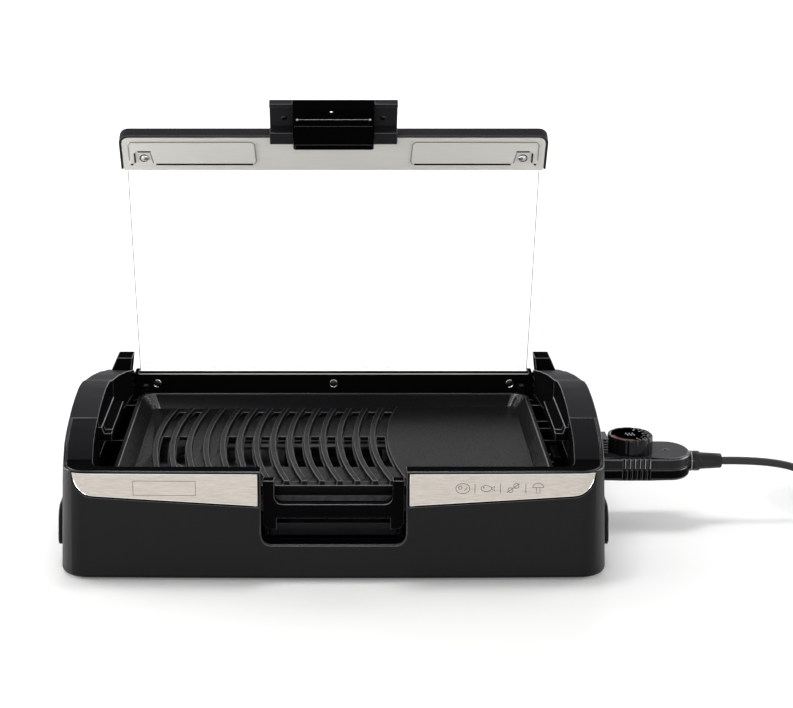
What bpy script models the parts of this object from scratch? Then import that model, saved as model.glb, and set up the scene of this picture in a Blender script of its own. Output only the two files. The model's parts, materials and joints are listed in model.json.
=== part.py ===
# Countertop electric grill with a lift-off cast plate, a hinged glass lid, a slide-out drip tray
# and a plug-in thermostat probe. Lengths are in metres: X to the right, Y to the back, Z up.
# The origin is on the table, under the middle of the base. The lid is modelled open.

import math

import bmesh
import bpy
from mathutils import Matrix, Vector

# Clearances shared by all pieces
FIT = 0.0003
OVERRUN = 0.005

# Base outline
BASE_HALF_WIDTH = 0.2385
BASE_DEPTH = 0.300
BASE_FOOT_GAP = 0.001
BASE_EDGE_ROUND = 0.0035
FRONT_CORNER_RADIUS = 0.026
REAR_CORNER_RADIUS = 0.018
FRONT_BOW = 0.002
SIDE_BULGE = 0.0015
REAR_NARROWING = 0.0085
NARROWING_REACH = 0.140
NARROWING_END_GAP = 0.035
LEDGE_HEIGHT = 0.0975
LEDGE_INSET = 0.0042
ARCH_RISE = 0.033
BASE_FRONT_Y = -BASE_DEPTH / 2
BASE_REAR_Y = BASE_DEPTH / 2
NARROWING_START_Y = BASE_REAR_Y - NARROWING_REACH
NARROWING_END_Y = BASE_REAR_Y - NARROWING_END_GAP
ARCH_TOP = LEDGE_HEIGHT + ARCH_RISE
CORNER_STEPS = 8
SIDE_STEPS = 8
BOW_STEPS = 6
# Side view of the top edge: share of the depth from the front, share of the rise above the ledge
ARCH_SHARES = (
    (0.080, 0.00), (0.090, 0.03), (0.100, 0.10), (0.113, 0.25), (0.133, 0.43), (0.167, 0.56),
    (0.207, 0.67), (0.260, 0.77), (0.327, 0.88), (0.397, 0.955), (0.483, 1.00), (0.560, 0.985),
    (0.617, 0.88), (0.700, 0.80), (0.800, 0.64), (0.887, 0.44), (0.947, 0.31), (0.980, 0.14),
)

# Outer housing and top frame
SKIN = 0.0028
WELL_SIDE_INSET = 0.0300
WELL_FRONT_INSET = 0.021
WELL_REAR_INSET = 0.028
WELL_CORNER_RADIUS = 0.009
WELL_WALL_HEIGHT = 0.027
CAP_PARTING_DROP = 0.0115
FRONT_SEAM_INSET = 0.078
REAR_SEAM_INSET = 0.115
REAR_GATE_DROP = 0.017
REAR_GATE_SIDE_INSET = 0.0385
REAR_GATE_INSET = 0.032
WELL_WALL_BOTTOM = LEDGE_HEIGHT - WELL_WALL_HEIGHT
CAP_PARTING_HEIGHT = LEDGE_HEIGHT - CAP_PARTING_DROP
REAR_GATE_HEIGHT = LEDGE_HEIGHT - REAR_GATE_DROP
WELL_FRONT_Y = BASE_FRONT_Y + WELL_FRONT_INSET
WELL_REAR_Y = BASE_REAR_Y - WELL_REAR_INSET
FRONT_SEAM_Y = BASE_FRONT_Y + FRONT_SEAM_INSET
REAR_SEAM_Y = BASE_REAR_Y - REAR_SEAM_INSET
REAR_GATE_HALF_WIDTH = BASE_HALF_WIDTH - REAR_GATE_SIDE_INSET
REAR_GATE_START_Y = BASE_REAR_Y - REAR_GATE_INSET

# Front pocket
POCKET_HALF_WIDTH = 0.0625
POCKET_HEIGHT = 0.0655
POCKET_SILL_HEIGHT = LEDGE_HEIGHT - POCKET_HEIGHT
POCKET_CORNER = 0.0086
LINER_WALL = 0.0026

# Trim plates on the front
TRIM_POCKET_GAP = 0.0025
TRIM_CURVE_LENGTH = 0.019
TRIM_SIDE_INSET = 0.014
TRIM_INNER_X = POCKET_HALF_WIDTH + TRIM_POCKET_GAP
TRIM_OUTER_X = BASE_HALF_WIDTH - TRIM_SIDE_INSET
TRIM_CURVE_X = TRIM_OUTER_X - TRIM_CURVE_LENGTH
TRIM_LEDGE_GAP = 0.0013
TRIM_TOP = LEDGE_HEIGHT - TRIM_LEDGE_GAP
TRIM_INNER_HEIGHT = 0.0288
TRIM_OUTER_HEIGHT = 0.0206
TRIM_SHEET = 0.0008
TRIM_SINK = 0.0003
TRIM_GROOVE = 0.0008
TRIM_CURVE_STEPS = 7

# Lid rests on the side caps
SHELF_INSET = 0.042
SHELF_LEDGE_WIDTH = 0.0065
SHELF_SLOPE_WIDTH = 0.0022
SHELF_FRONT_REACH = 0.008
SHELF_REAR_GAP = 0.023
SHELF_INNER_X = BASE_HALF_WIDTH - SHELF_INSET
SHELF_LIP_X = SHELF_INNER_X + SHELF_LEDGE_WIDTH
SHELF_BACK_X = SHELF_LIP_X + SHELF_SLOPE_WIDTH
SHELF_FRONT_Y = FRONT_SEAM_Y - SHELF_FRONT_REACH
SHELF_REAR_Y = REAR_SEAM_Y - SHELF_REAR_GAP
SHELF_DROP = 0.018
SHELF_SLOPE_HEIGHT = 0.0045
SHELF_SHEET = 0.0085
SHELF_TOP = ARCH_TOP - SHELF_DROP
SHELF_BACK_TOP = SHELF_TOP + SHELF_SLOPE_HEIGHT
SHELF_BOTTOM = SHELF_TOP - SHELF_SHEET
SHELF_NOSE_DROP = 0.0013

# Hinge axis and the ears of the hinge covers that carry it
HINGE_INSET = 0.020
HINGE_Y = BASE_REAR_Y - HINGE_INSET
HINGE_LEDGE_DROP = 0.0055
HINGE_Z = LEDGE_HEIGHT - HINGE_LEDGE_DROP
EAR_INSET = 0.039
EAR_TOP_WIDTH = 0.0152
EAR_BASE_WIDTH = 0.026
EAR_INNER_X = BASE_HALF_WIDTH - EAR_INSET
EAR_TOP_OUTER_X = EAR_INNER_X + EAR_TOP_WIDTH
EAR_BASE_OUTER_X = EAR_INNER_X + EAR_BASE_WIDTH
EAR_RISE = 0.032
EAR_ROOT_RISE = 0.008
EAR_TOP = HINGE_Z + EAR_RISE
EAR_ROOT = HINGE_Z + EAR_ROOT_RISE
EAR_FRONT_REACH = 0.011
EAR_REAR_REACH = 0.013
EAR_FRONT_Y = HINGE_Y - EAR_FRONT_REACH
EAR_REAR_Y = HINGE_Y + EAR_REAR_REACH

# Side grips
GRIP_FRONT_INSET = 0.038
GRIP_REAR_INSET = 0.060
GRIP_FRONT_Y = BASE_FRONT_Y + GRIP_FRONT_INSET
GRIP_REAR_Y = BASE_REAR_Y - GRIP_REAR_INSET
GRIP_BOTTOM = 0.016
GRIP_LEDGE_GAP = 0.0435
GRIP_TOP = LEDGE_HEIGHT - GRIP_LEDGE_GAP
GRIP_THROW = 0.0052
GRIP_RIM = 0.006
GRIP_CORNER = 0.010

# Thermostat socket in the right wall, round the probe's axis
PROBE_AXIS_DROP = 0.0395
PROBE_AXIS_Z = LEDGE_HEIGHT - PROBE_AXIS_DROP
SOCKET_HALF_WIDTH = 0.0173
SOCKET_HALF_HEIGHT = 0.0099
SOCKET_BOTTOM = PROBE_AXIS_Z - SOCKET_HALF_HEIGHT
SOCKET_TOP = PROBE_AXIS_Z + SOCKET_HALF_HEIGHT
SOCKET_RIM = 0.0018
SOCKET_DEPTH = 0.0105
SOCKET_PROUD = 0.0020
SOCKET_OUTER_X = BASE_HALF_WIDTH + SOCKET_PROUD
SOCKET_INNER_X = SOCKET_OUTER_X - SOCKET_DEPTH
SOCKET_RELIEF = 0.012

# Bottom cover, tray rails, posts and feet
COVER_UNDERSIDE = 0.0025
COVER_SHEET = 0.0025
RAIL_POCKET_GAP = 0.0027
RAIL_OUTER_X = POCKET_HALF_WIDTH - RAIL_POCKET_GAP
RAIL_WALL = 0.0025
RAIL_LEDGE = 0.0060
RAIL_POCKET_RISE = 0.0100
RAIL_TOP = POCKET_SILL_HEIGHT + RAIL_POCKET_RISE
RAIL_FRONT_INSET = 0.0285
RAIL_REAR_INSET = 0.0600
RAIL_FRONT_Y = BASE_FRONT_Y + RAIL_FRONT_INSET
RAIL_REAR_Y = BASE_REAR_Y - RAIL_REAR_INSET
POST_RADIUS = 0.006
POST_SIDE_INSET = 0.0885
POST_END_INSET = 0.062
POST_X = BASE_HALF_WIDTH - POST_SIDE_INSET
POST_Y = BASE_REAR_Y - POST_END_INSET
FOOT_RADIUS = 0.009
FOOT_TOP_RADIUS = 0.010
FOOT_RECESS = 0.0008
FOOT_SIDE_INSET = 0.0435
FOOT_END_INSET = 0.038
FOOT_X = BASE_HALF_WIDTH - FOOT_SIDE_INSET
FOOT_Y = BASE_REAR_Y - FOOT_END_INSET

# Grill plate
PLATE_SIDE_GAP = 0.016
PLATE_END_GAP = 0.004
PLATE_HALF_WIDTH = BASE_HALF_WIDTH - WELL_SIDE_INSET - PLATE_SIDE_GAP
PLATE_HALF_DEPTH = WELL_REAR_Y - PLATE_END_GAP
PLATE_CORNER = 0.014
PLATE_RIM_DROP = 0.0090
PLATE_DEPTH = 0.0120
PLATE_THICKNESS = 0.0040
PLATE_RIM_HEIGHT = LEDGE_HEIGHT - PLATE_RIM_DROP
PLATE_RIM_EDGE = 0.0030
PLATE_RIM_TOP_WIDTH = 0.0035
PLATE_SLOPE_WIDTH = 0.0110
PLATE_FLOOR = PLATE_RIM_HEIGHT - PLATE_DEPTH
PLATE_UNDERSIDE = PLATE_FLOOR - PLATE_THICKNESS
PLATE_BELLY_INSET = 0.0120
PLATE_FRONT_LIP = 0.0025
PLATE_LOW_FRONT = PLATE_FLOOR + PLATE_FRONT_LIP
PLATE_SKIRT_DEPTH = 0.0040
PLATE_SHEET_BITE = 0.001
PLATE_SKIRT_DROP = 0.0057
PLATE_SKIRT_BOTTOM = PLATE_UNDERSIDE - PLATE_SKIRT_DROP
PLATE_SKIRT_INSET = 0.0165
PLATE_SKIRT_HALF_WIDTH = PLATE_HALF_WIDTH - PLATE_SKIRT_INSET
RIB_COUNT = 14
RIB_FIRST_INSET = 0.0278
RIB_FIRST_X = RIB_FIRST_INSET - PLATE_HALF_WIDTH
RIB_PITCH = 0.01547
RIB_TOP_WIDTH = 0.0050
RIB_FOOT_WIDTH = 0.0066
RIB_HEIGHT = 0.0036
RIB_ARC_RADIUS = 0.440
RIB_FRONT_INSET = 0.0015
RIB_REAR_INSET = 0.024
RIB_FRONT_Y = RIB_FRONT_INSET - PLATE_HALF_DEPTH
RIB_REAR_Y = PLATE_HALF_DEPTH - RIB_REAR_INSET
RIB_STEPS = 10
GRIDDLE_RISE = 0.0022
GRIDDLE_EDGE_X = 0.0500
GRIDDLE_FRONT_INSET = 0.0012
GRIDDLE_REAR_INSET = 0.0140
GRIDDLE_SIDE_INSET = 0.0135
GRIDDLE_FRONT_Y = GRIDDLE_FRONT_INSET - PLATE_HALF_DEPTH
GRIDDLE_REAR_Y = PLATE_HALF_DEPTH - GRIDDLE_REAR_INSET
GRIDDLE_RIGHT_X = PLATE_HALF_WIDTH - GRIDDLE_SIDE_INSET
SLOT_WIDTH = 0.0078
SLOT_FRONT_INSETS = (0.048, 0.102)
SLOT_REAR_INSETS = (0.052, 0.027)
SLOT_FRONT_SPAN_Y = (SLOT_FRONT_INSETS[0] - PLATE_HALF_DEPTH, PLATE_HALF_DEPTH - SLOT_FRONT_INSETS[1])
SLOT_REAR_SPAN_Y = (PLATE_HALF_DEPTH - SLOT_REAR_INSETS[0], PLATE_HALF_DEPTH - SLOT_REAR_INSETS[1])
SLOT_STEPS = 5
UNSLOTTED_GAPS = (2, 3)

# Reflector pan
PAN_SIDE_INSET = 0.0040
PAN_END_INSET = 0.0060
PAN_HALF_WIDTH = PLATE_HALF_WIDTH - PAN_SIDE_INSET
PAN_HALF_DEPTH = PLATE_HALF_DEPTH - PAN_END_INSET
PAN_CORNER = 0.014
PAN_SHEET = 0.0012
PAN_PLATE_GAP = 0.0065
PAN_DEPTH = 0.0145
PAN_DRAIN_DEPTH = 0.0040
PAN_TOP = PLATE_UNDERSIDE - PAN_PLATE_GAP
PAN_EDGE_HEIGHT = PAN_TOP - PAN_DEPTH
PAN_DRAIN_HEIGHT = PAN_EDGE_HEIGHT - PAN_DRAIN_DEPTH
PAN_DRAIN_HALF_WIDTH = 0.048
PAN_DRAIN_END_INSET = 0.032
PAN_DRAIN_HALF_DEPTH = PAN_HALF_DEPTH - PAN_DRAIN_END_INSET
PAN_DRAIN_CORNER = 0.010
PAN_LIP = 0.0015
PAN_FLANGE = 0.004

# Heating element, clips and terminals
ELEMENT_RADIUS = 0.004
ELEMENT_AXIS_RISE = 0.0012
ELEMENT_HEIGHT = PROBE_AXIS_Z + ELEMENT_AXIS_RISE
ELEMENT_LEG_Y = 0.040
ELEMENT_LEFT_INSET = 0.0805
ELEMENT_RIGHT_INSET = 0.0645
ELEMENT_LEFT_X = ELEMENT_LEFT_INSET - PLATE_HALF_WIDTH
ELEMENT_RIGHT_X = PLATE_HALF_WIDTH - ELEMENT_RIGHT_INSET
ELEMENT_BEND = 0.014
TERMINAL_Y = 0.011
BLOCK_SIDE_INSET = 0.0385
BLOCK_LENGTH = 0.0217
BLOCK_OUTER_X = BASE_HALF_WIDTH - BLOCK_SIDE_INSET
BLOCK_INNER_X = BLOCK_OUTER_X - BLOCK_LENGTH
TERMINAL_X = BLOCK_INNER_X - FIT
BLOCK_HALF_WIDTH = 0.0200
BLOCK_HALF_HEIGHT = 0.0064
BLOCK_BOTTOM = ELEMENT_HEIGHT - BLOCK_HALF_HEIGHT
BLOCK_TOP = ELEMENT_HEIGHT + BLOCK_HALF_HEIGHT
CONTACT_RADIUS = 0.0020
CONTACT_LENGTH = 0.0160
CONTACT_END_X = BLOCK_OUTER_X + CONTACT_LENGTH
CLIP_X = 0.090
CLIP_WIDTH = 0.006
CLIP_SHEET = 0.0012
CLIP_REACH = 0.014
CLIP_SPAN_Y = ELEMENT_LEG_Y + CLIP_REACH
ROD_HOLE_RADIUS = 0.0036

# Plate rests on the well's side walls: their middles along Y
REST_YS = (0.088, -0.020)
REST_RIGHT_ONLY_YS = (0.037, 0.0155)
REST_WIDTH = 0.003
REST_SHEET = 0.003
REST_BITE = 0.0027
REST_INNER_X = PLATE_HALF_WIDTH - REST_BITE
REST_RIM_DROP = 0.0033
REST_TOP = PLATE_RIM_HEIGHT - REST_RIM_DROP

# Drip tray and its front
TRAY_POCKET_GAP = 0.0060
TRAY_FRONT_INSET = 0.0228
TRAY_REAR_INSET = 0.0640
TRAY_HALF_WIDTH = POCKET_HALF_WIDTH - TRAY_POCKET_GAP
TRAY_FRONT_Y = BASE_FRONT_Y + TRAY_FRONT_INSET
TRAY_REAR_Y = BASE_REAR_Y - TRAY_REAR_INSET
TRAY_SILL_GAP = 0.0015
TRAY_DEPTH = 0.0110
TRAY_BOTTOM = POCKET_SILL_HEIGHT + TRAY_SILL_GAP
TRAY_TOP = TRAY_BOTTOM + TRAY_DEPTH
TRAY_WALL = 0.0016
TRAY_FRONT_POCKET_GAP = 0.0015
TRAY_FRONT_FACE_INSET = 0.0120
TRAY_FRONT_HALF_WIDTH = POCKET_HALF_WIDTH - TRAY_FRONT_POCKET_GAP
TRAY_FRONT_FACE_Y = BASE_FRONT_Y + TRAY_FRONT_FACE_INSET
TRAY_FRONT_THICKNESS = 0.0100
TRAY_POST_WIDTH = 0.010
TRAY_POST_DROP = 0.0100
TRAY_BAR_GAP = 0.0008
TRAY_BAR_HEIGHT = 0.0130
TRAY_POST_TOP = LEDGE_HEIGHT - TRAY_POST_DROP
TRAY_BAR_TOP = PLATE_SKIRT_BOTTOM - TRAY_BAR_GAP
TRAY_BAR_BOTTOM = TRAY_BAR_TOP - TRAY_BAR_HEIGHT
TRAY_STEP_X = 0.0490
TRAY_LEG_HEIGHT = 0.0100
TRAY_STEP_BOTTOM = TRAY_BAR_BOTTOM - TRAY_LEG_HEIGHT
TRAY_NOTCH_CORNER = 0.007

# Lid, in its closed place round the hinge axis: reach is towards the front, rise is up
RAIL_EAR_GAP = 0.004
RAIL_HALF_LENGTH = EAR_INNER_X - RAIL_EAR_GAP
RAIL_LOW_REACH = -0.007
RAIL_HIGH_REACH = 0.0131
RAIL_FACE_RISE = -0.002
LID_LEAN_DEGREES = 1.0
GLASS_RISE = 0.0208
GLASS_SHEET = 0.004
GLASS_START_REACH = 0.0
GLASS_SETBACK = 0.0974
GLASS_FLAT_REACH = BASE_DEPTH - GLASS_SETBACK
GLASS_BEND_RADIUS = 0.025
GLASS_BEND_DEGREES = 30.0
GLASS_STRAIGHT = 0.0380
GLASS_END_INSET = 0.0003
GLASS_FLARE = 0.0068
GLASS_REAR_HALF_WIDTH = RAIL_HALF_LENGTH - GLASS_END_INSET
GLASS_FRONT_HALF_WIDTH = GLASS_REAR_HALF_WIDTH + GLASS_FLARE
GLASS_BEND_STEPS = 5
BAND_START = 0.0002
BAND_SHEET = 0.0008
BAND_SIDE_REACH = 0.0032
BAND_HALF_WIDTH = GLASS_FRONT_HALF_WIDTH + BAND_SIDE_REACH
LIDFRAME_START = 0.0015
LIDFRAME_LENGTH = 0.0410
LIDFRAME_RIM = 0.0023
LIDFRAME_SIDE_REACH = 0.0026
LIDFRAME_HALF_WIDTH = BAND_HALF_WIDTH + LIDFRAME_SIDE_REACH
LIDFRAME_SHEET = 0.0067
LIDFRAME_LIP = 0.0012
LIDFRAME_CORNER = 0.0090
CLAMP_LOW_REACH = -0.004
CLAMP_HIGH_REACH = 0.014
CLAMP_SHEET = 0.003
CLAMP_END_INSET = 0.0015
CLAMP_HALF_LENGTH = RAIL_HALF_LENGTH - CLAMP_END_INSET
HINGE_PIN_RADIUS = 0.003
HINGE_PIN_SEAT = 0.010
HINGE_PIN_EAR_REACH = 0.0071
HINGE_PIN_END_X = EAR_INNER_X + HINGE_PIN_EAR_REACH
RUNNING_FIT = 0.00008
RAIL_SCREW_INSET = 0.0195
RAIL_SCREW_X = RAIL_HALF_LENGTH - RAIL_SCREW_INSET
SCREW_HEAD_RADIUS = 0.0035
SCREW_HEAD_HEIGHT = 0.0016
SCREW_SHANK_RADIUS = 0.0016
SCREW_SHANK_LENGTH = 0.0050
BAND_SCREW_INSET = 0.0222
BAND_SCREW_X = BAND_HALF_WIDTH - BAND_SCREW_INSET
BAND_SCREW_ALONG = 0.0150

# Lid handle, measured along the pane after its bend and out of it
HANDLE_HALF_WIDTH = 0.0614
HANDLE_END = 0.0780
HANDLE_CHAMFER = 0.0020
HANDLE_SHEET = 0.0027
HANDLE_ROOT = 0.0045
HANDLE_LIP_LENGTH = 0.0045
HANDLE_LIP_DEPTH = 0.0020
HANDLE_FLANGE_START = 0.0335
HANDLE_FLANGE_SHEET = 0.0015
INSERT_HALF_WIDTH = 0.0387
INSERT_START = 0.0310
INSERT_END = 0.0786
INSERT_DEPTH = 0.0080
INSERT_CHAMFER = 0.0025

# Thermostat probe
PROBE_SOCKET_GAP = 0.0004
PROBE_STRAIGHT = 0.0711
PROBE_ROUND = 0.0210
PROBE_LEFT_X = SOCKET_OUTER_X + PROBE_SOCKET_GAP
PROBE_ROUND_X = PROBE_LEFT_X + PROBE_STRAIGHT
PROBE_RIGHT_X = PROBE_ROUND_X + PROBE_ROUND
PROBE_HALF_WIDTH = 0.0260
PROBE_HALF_HEIGHT = 0.0110
PROBE_SEAM_DROP = 0.0003
PROBE_BOTTOM = PROBE_AXIS_Z - PROBE_HALF_HEIGHT
PROBE_SEAM = PROBE_AXIS_Z - PROBE_SEAM_DROP
PROBE_TOP = PROBE_AXIS_Z + PROBE_HALF_HEIGHT
PROBE_SHELL = 0.0022
PROBE_EDGE = 0.0015
PROBE_END_STEPS = 12
NOSE_CLEARANCE = 0.0005
NOSE_BLOCK_GAP = 0.0045
NOSE_INNER_X = BLOCK_OUTER_X + NOSE_BLOCK_GAP
NOSE_BORE_RADIUS = 0.0026
PROBE_ROD_RADIUS = 0.0030
PROBE_ROD_REACH = 0.0545
PROBE_ROD_SEAT = 0.0105
PROBE_ROD_END_X = NOSE_INNER_X - PROBE_ROD_REACH
PROBE_ROD_SEAT_X = NOSE_INNER_X + PROBE_ROD_SEAT
GROOVE_START = 0.0276
GROOVE_FIRST_X = PROBE_LEFT_X + GROOVE_START
GROOVE_PITCH = 0.0046
GROOVE_COUNT = 6
GROOVE_WIDTH = 0.0016
GROOVE_DEPTH = 0.0012
KNOB_SETBACK = 0.0358
KNOB_X = PROBE_LEFT_X + KNOB_SETBACK
KNOB_RADIUS = 0.0210
KNOB_HEIGHT = 0.0150
KNOB_FLUTES = 12
KNOB_FLUTE_RADIUS = 0.0030
KNOB_FLUTE_DEPTH = 0.0009
KNOB_SHAFT_RADIUS = 0.0030
KNOB_SHAFT_DEPTH = 0.0080
KNOB_SHAFT_BOTTOM = PROBE_TOP - KNOB_SHAFT_DEPTH
KNOB_SHAFT_BITE = 0.0080
SWITCH_LENGTH = 0.030
SWITCH_HALF_WIDTH = 0.0120
SWITCH_HEIGHT = 0.0090
LAMP_INSET = 0.0220
LAMP_X = PROBE_RIGHT_X - LAMP_INSET
LAMP_RADIUS = 0.0022
LAMP_HEIGHT = 0.0036

# Strain relief, cord, coil, tie and plug
CORD_RADIUS = 0.00375
RELIEF_COLLAR_RADIUS = 0.00945
RELIEF_COLLAR_LENGTH = 0.0090
RELIEF_ROOT_RADIUS = 0.00785
RELIEF_TIP_RADIUS = 0.0067
RELIEF_LENGTH = 0.0300
TIE_SHEET = 0.0008
TIE_WIDTH = 0.008
TIE_ANGLE_DEGREES = 120.0
TIE_SLACK = 0.0010
COIL_CENTRE_X = 0.5050
COIL_OUTER_RADIUS = 0.0490
COIL_PITCH = 0.0083
COIL_LAYER_RISE = 0.0083
COIL_START_TURNS = -0.25
COIL_LAYER_TURNS = 1.7083
COIL_CLIMB_TURNS = 0.5
COIL_TAIL_TURNS = 0.3334
COIL_TAIL_OUT = 0.0180
COIL_POINTS_PER_TURN = 24
COIL_CENTRE_Y = 0.0550
PLUG_AXIS_HEIGHT = 0.0088
PLUG_COLLAR_RADIUS = 0.0060
PLUG_COLLAR_LENGTH = 0.0140
PLUG_HALF_WIDTH = 0.0170
PLUG_HALF_HEIGHT = 0.0085
PLUG_LENGTH = 0.0330
PLUG_PIN_SPACING = 0.019
PLUG_PIN_RADIUS = 0.0024
PLUG_PIN_LENGTH = 0.019
PLUG_PIN_BITE = 0.004
# The free run of the cord from the strain relief to the coil, along X and Z at Y and its drift
CORD_ROUTE = (
    (0.3633, 0.0, 0.0580), (0.3710, 0.0, 0.0580), (0.3800, 0.0001, 0.0579), (0.3900, 0.0002, 0.0575),
    (0.4000, 0.0004, 0.0568), (0.4100, 0.0006, 0.0557), (0.4200, 0.0009, 0.0540), (0.4300, 0.0013, 0.0514),
    (0.4400, 0.0018, 0.0473), (0.4490, 0.0024, 0.0418), (0.4560, 0.0030, 0.0351), (0.4620, 0.0036, 0.0276),
    (0.4680, 0.0043, 0.0198), (0.4740, 0.0049, 0.0130), (0.4800, 0.0054, 0.0082), (0.4850, 0.0058, 0.0058),
)
CORD_RUN_STEP = 0.0095


def clear_scene():
    for obj in list(bpy.data.objects):
        bpy.data.objects.remove(obj, do_unlink=True)


def make_material(name, colour, roughness, metallic=0.0):
    material = bpy.data.materials.new(name)
    material.use_nodes = True
    shader = material.node_tree.nodes["Principled BSDF"]
    shader.inputs["Base Color"].default_value = (*colour, 1.0)
    shader.inputs["Roughness"].default_value = roughness
    shader.inputs["Metallic"].default_value = metallic
    material.diffuse_color = (*colour, 1.0)
    return material


def object_from(name, bm):
    """Turn a closed bmesh into an object with its faces pointing out."""
    bmesh.ops.recalc_face_normals(bm, faces=bm.faces)
    mesh = bpy.data.meshes.new(name)
    bm.to_mesh(mesh)
    bm.free()
    obj = bpy.data.objects.new(name, mesh)
    bpy.context.scene.collection.objects.link(obj)
    return obj


def bridge(bm, first, second):
    for i, corner in enumerate(first):
        after = (i + 1) % len(first)
        bm.faces.new((corner, first[after], second[after], second[i]))


def loft(name, loops):
    """A solid through loops of equal count, closed by a cap at each end."""
    bm = bmesh.new()
    rings = [[bm.verts.new(point) for point in loop] for loop in loops]
    for lower, upper in zip(rings, rings[1:]):
        bridge(bm, lower, upper)
    bm.faces.new(rings[0])
    bm.faces.new(rings[-1])
    return object_from(name, bm)


def ring_loft(name, loops):
    """A solid ring: its section runs through the loops and back to the first."""
    bm = bmesh.new()
    rings = [[bm.verts.new(point) for point in loop] for loop in loops]
    for lower, upper in zip(rings, rings[1:] + rings[:1]):
        bridge(bm, lower, upper)
    return object_from(name, bm)


def prism(name, outline, axis, low, high):
    """An outline pushed along one axis. Its pairs are the other two axes in order."""
    index = "XYZ".index(axis)

    def lifted(level):
        return [(*pair[:index], level, *pair[index:]) for pair in outline]

    return loft(name, [lifted(low), lifted(high)])


def block(name, low, high):
    (x0, y0, z0), (x1, y1, z1) = low, high
    return prism(name, [(x0, y0), (x1, y0), (x1, y1), (x0, y1)], "Z", z0, z1)


def circle(centre, radius, axis, steps, squash=1.0):
    """Points round a circle that faces the given axis."""
    points = []
    for i in range(steps):
        turn = 2 * math.pi * (i + 0.5) / steps
        a, b = radius * math.cos(turn), radius * math.sin(turn) * squash
        offset = {"X": (0, a, b), "Y": (b, 0, a), "Z": (a, b, 0)}[axis]
        points.append(tuple(c + o for c, o in zip(centre, offset)))
    return points


def turned(name, centre, axis, stations, steps):
    """A turned solid: stations are (distance along the axis, radius)."""
    index = "XYZ".index(axis)
    loops = []
    for along, radius in stations:
        middle = list(centre)
        middle[index] += along
        loops.append(circle(middle, radius, axis, steps))
    return loft(name, loops)


def change(target, operation, others):
    """Cut, join or intersect the target with other objects, which are then removed."""
    for other in others:
        modifier = target.modifiers.new(operation.title(), "BOOLEAN")
        modifier.operation = operation
        modifier.object = other
    graph = bpy.context.evaluated_depsgraph_get()
    mesh = bpy.data.meshes.new_from_object(target.evaluated_get(graph))
    target.modifiers.clear()
    old = target.data
    target.data = mesh
    bpy.data.meshes.remove(old)
    for other in others:
        bpy.data.objects.remove(other, do_unlink=True)
    return target


def cut(target, *others):
    return change(target, "DIFFERENCE", others)


def join(target, *others):
    return change(target, "UNION", others)


def keep(target, *others):
    return change(target, "INTERSECT", others)


def mirrored(obj, name):
    """A copy of an object mirrored across the middle plane."""
    bm = bmesh.new()
    bm.from_mesh(obj.data)
    bmesh.ops.scale(bm, vec=(-1, 1, 1), verts=bm.verts)
    bmesh.ops.reverse_faces(bm, faces=bm.faces)
    return object_from(name, bm)


def arc(centre, radius, start_degrees, end_degrees, steps):
    points = []
    for i in range(steps + 1):
        turn = math.radians(start_degrees + (end_degrees - start_degrees) * i / steps)
        points.append((centre[0] + radius * math.cos(turn), centre[1] + radius * math.sin(turn)))
    return points


def rounded_rectangle(low, high, radius, steps=4):
    (x0, y0), (x1, y1) = low, high
    corners = (
        ((x1 - radius, y0 + radius), -90), ((x1 - radius, y1 - radius), 0),
        ((x0 + radius, y1 - radius), 90), ((x0 + radius, y0 + radius), 180),
    )
    return [p for centre, start in corners for p in arc(centre, radius, start, start + 90, steps)]


def eased(share):
    share = min(max(share, 0.0), 1.0)
    return share * share * (3 - 2 * share)


def side_x(y):
    """Half width of the base at the table, a distance along Y."""
    drawn_in = eased((y - NARROWING_START_Y) / (NARROWING_END_Y - NARROWING_START_Y))
    front = BASE_FRONT_Y + FRONT_CORNER_RADIUS
    swell = math.sin(math.pi * min(max((y - front) / (BASE_REAR_Y - front), 0), 1))
    return BASE_HALF_WIDTH + SIDE_BULGE * swell - REAR_NARROWING * drawn_in


def plan_loop(z, side_inset, front_y, rear_y, front_radius, rear_radius, bow):
    """The base's outline at one height, drawn in from the sides."""
    front_x = side_x(front_y + bow + front_radius) - side_inset - front_radius
    rear_x = side_x(rear_y - rear_radius) - side_inset - rear_radius
    right = []
    for i in range(1, BOW_STEPS):
        x = front_x * i / BOW_STEPS
        right.append((x, front_y + bow * (x / front_x) ** 2))
    right += arc((front_x, front_y + bow + front_radius), front_radius, -90, 0, CORNER_STEPS)
    start, end = front_y + bow + front_radius, rear_y - rear_radius
    for i in range(1, SIDE_STEPS):
        y = start + (end - start) * i / SIDE_STEPS
        right.append((side_x(y) - side_inset, y))
    right += arc((rear_x, rear_y - rear_radius), rear_radius, 0, 90, CORNER_STEPS)
    left = [(-x, y) for x, y in reversed(right)]
    return [(x, y, z) for x, y in [(0, front_y), *right, (0, rear_y), *left]]


def draft(z):
    return LEDGE_INSET * min(max(z, 0), LEDGE_HEIGHT) / LEDGE_HEIGHT


def skin_loop(z, depth):
    """The housing's outer outline at one height, a depth inside its surface."""
    inset = draft(z) + depth
    return plan_loop(
        z, inset, BASE_FRONT_Y + inset, BASE_REAR_Y - inset,
        FRONT_CORNER_RADIUS - inset, REAR_CORNER_RADIUS - inset, FRONT_BOW,
    )


def skin_body(name, depth, low, high):
    """The base's outer form, a depth inside its surface, between two heights."""
    heights = [low, *(z for z in (LEDGE_HEIGHT,) if low < z < high), high]
    return loft(name, [skin_loop(z, depth) for z in heights])


def well_body(name, growth, low, high):
    """The cooking well's opening, grown by a distance."""
    return loft(name, [
        plan_loop(
            z, WELL_SIDE_INSET - growth, WELL_FRONT_Y - growth, WELL_REAR_Y + growth,
            WELL_CORNER_RADIUS + growth, WELL_CORNER_RADIUS + growth, 0,
        )
        for z in (low, high)
    ])


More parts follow.
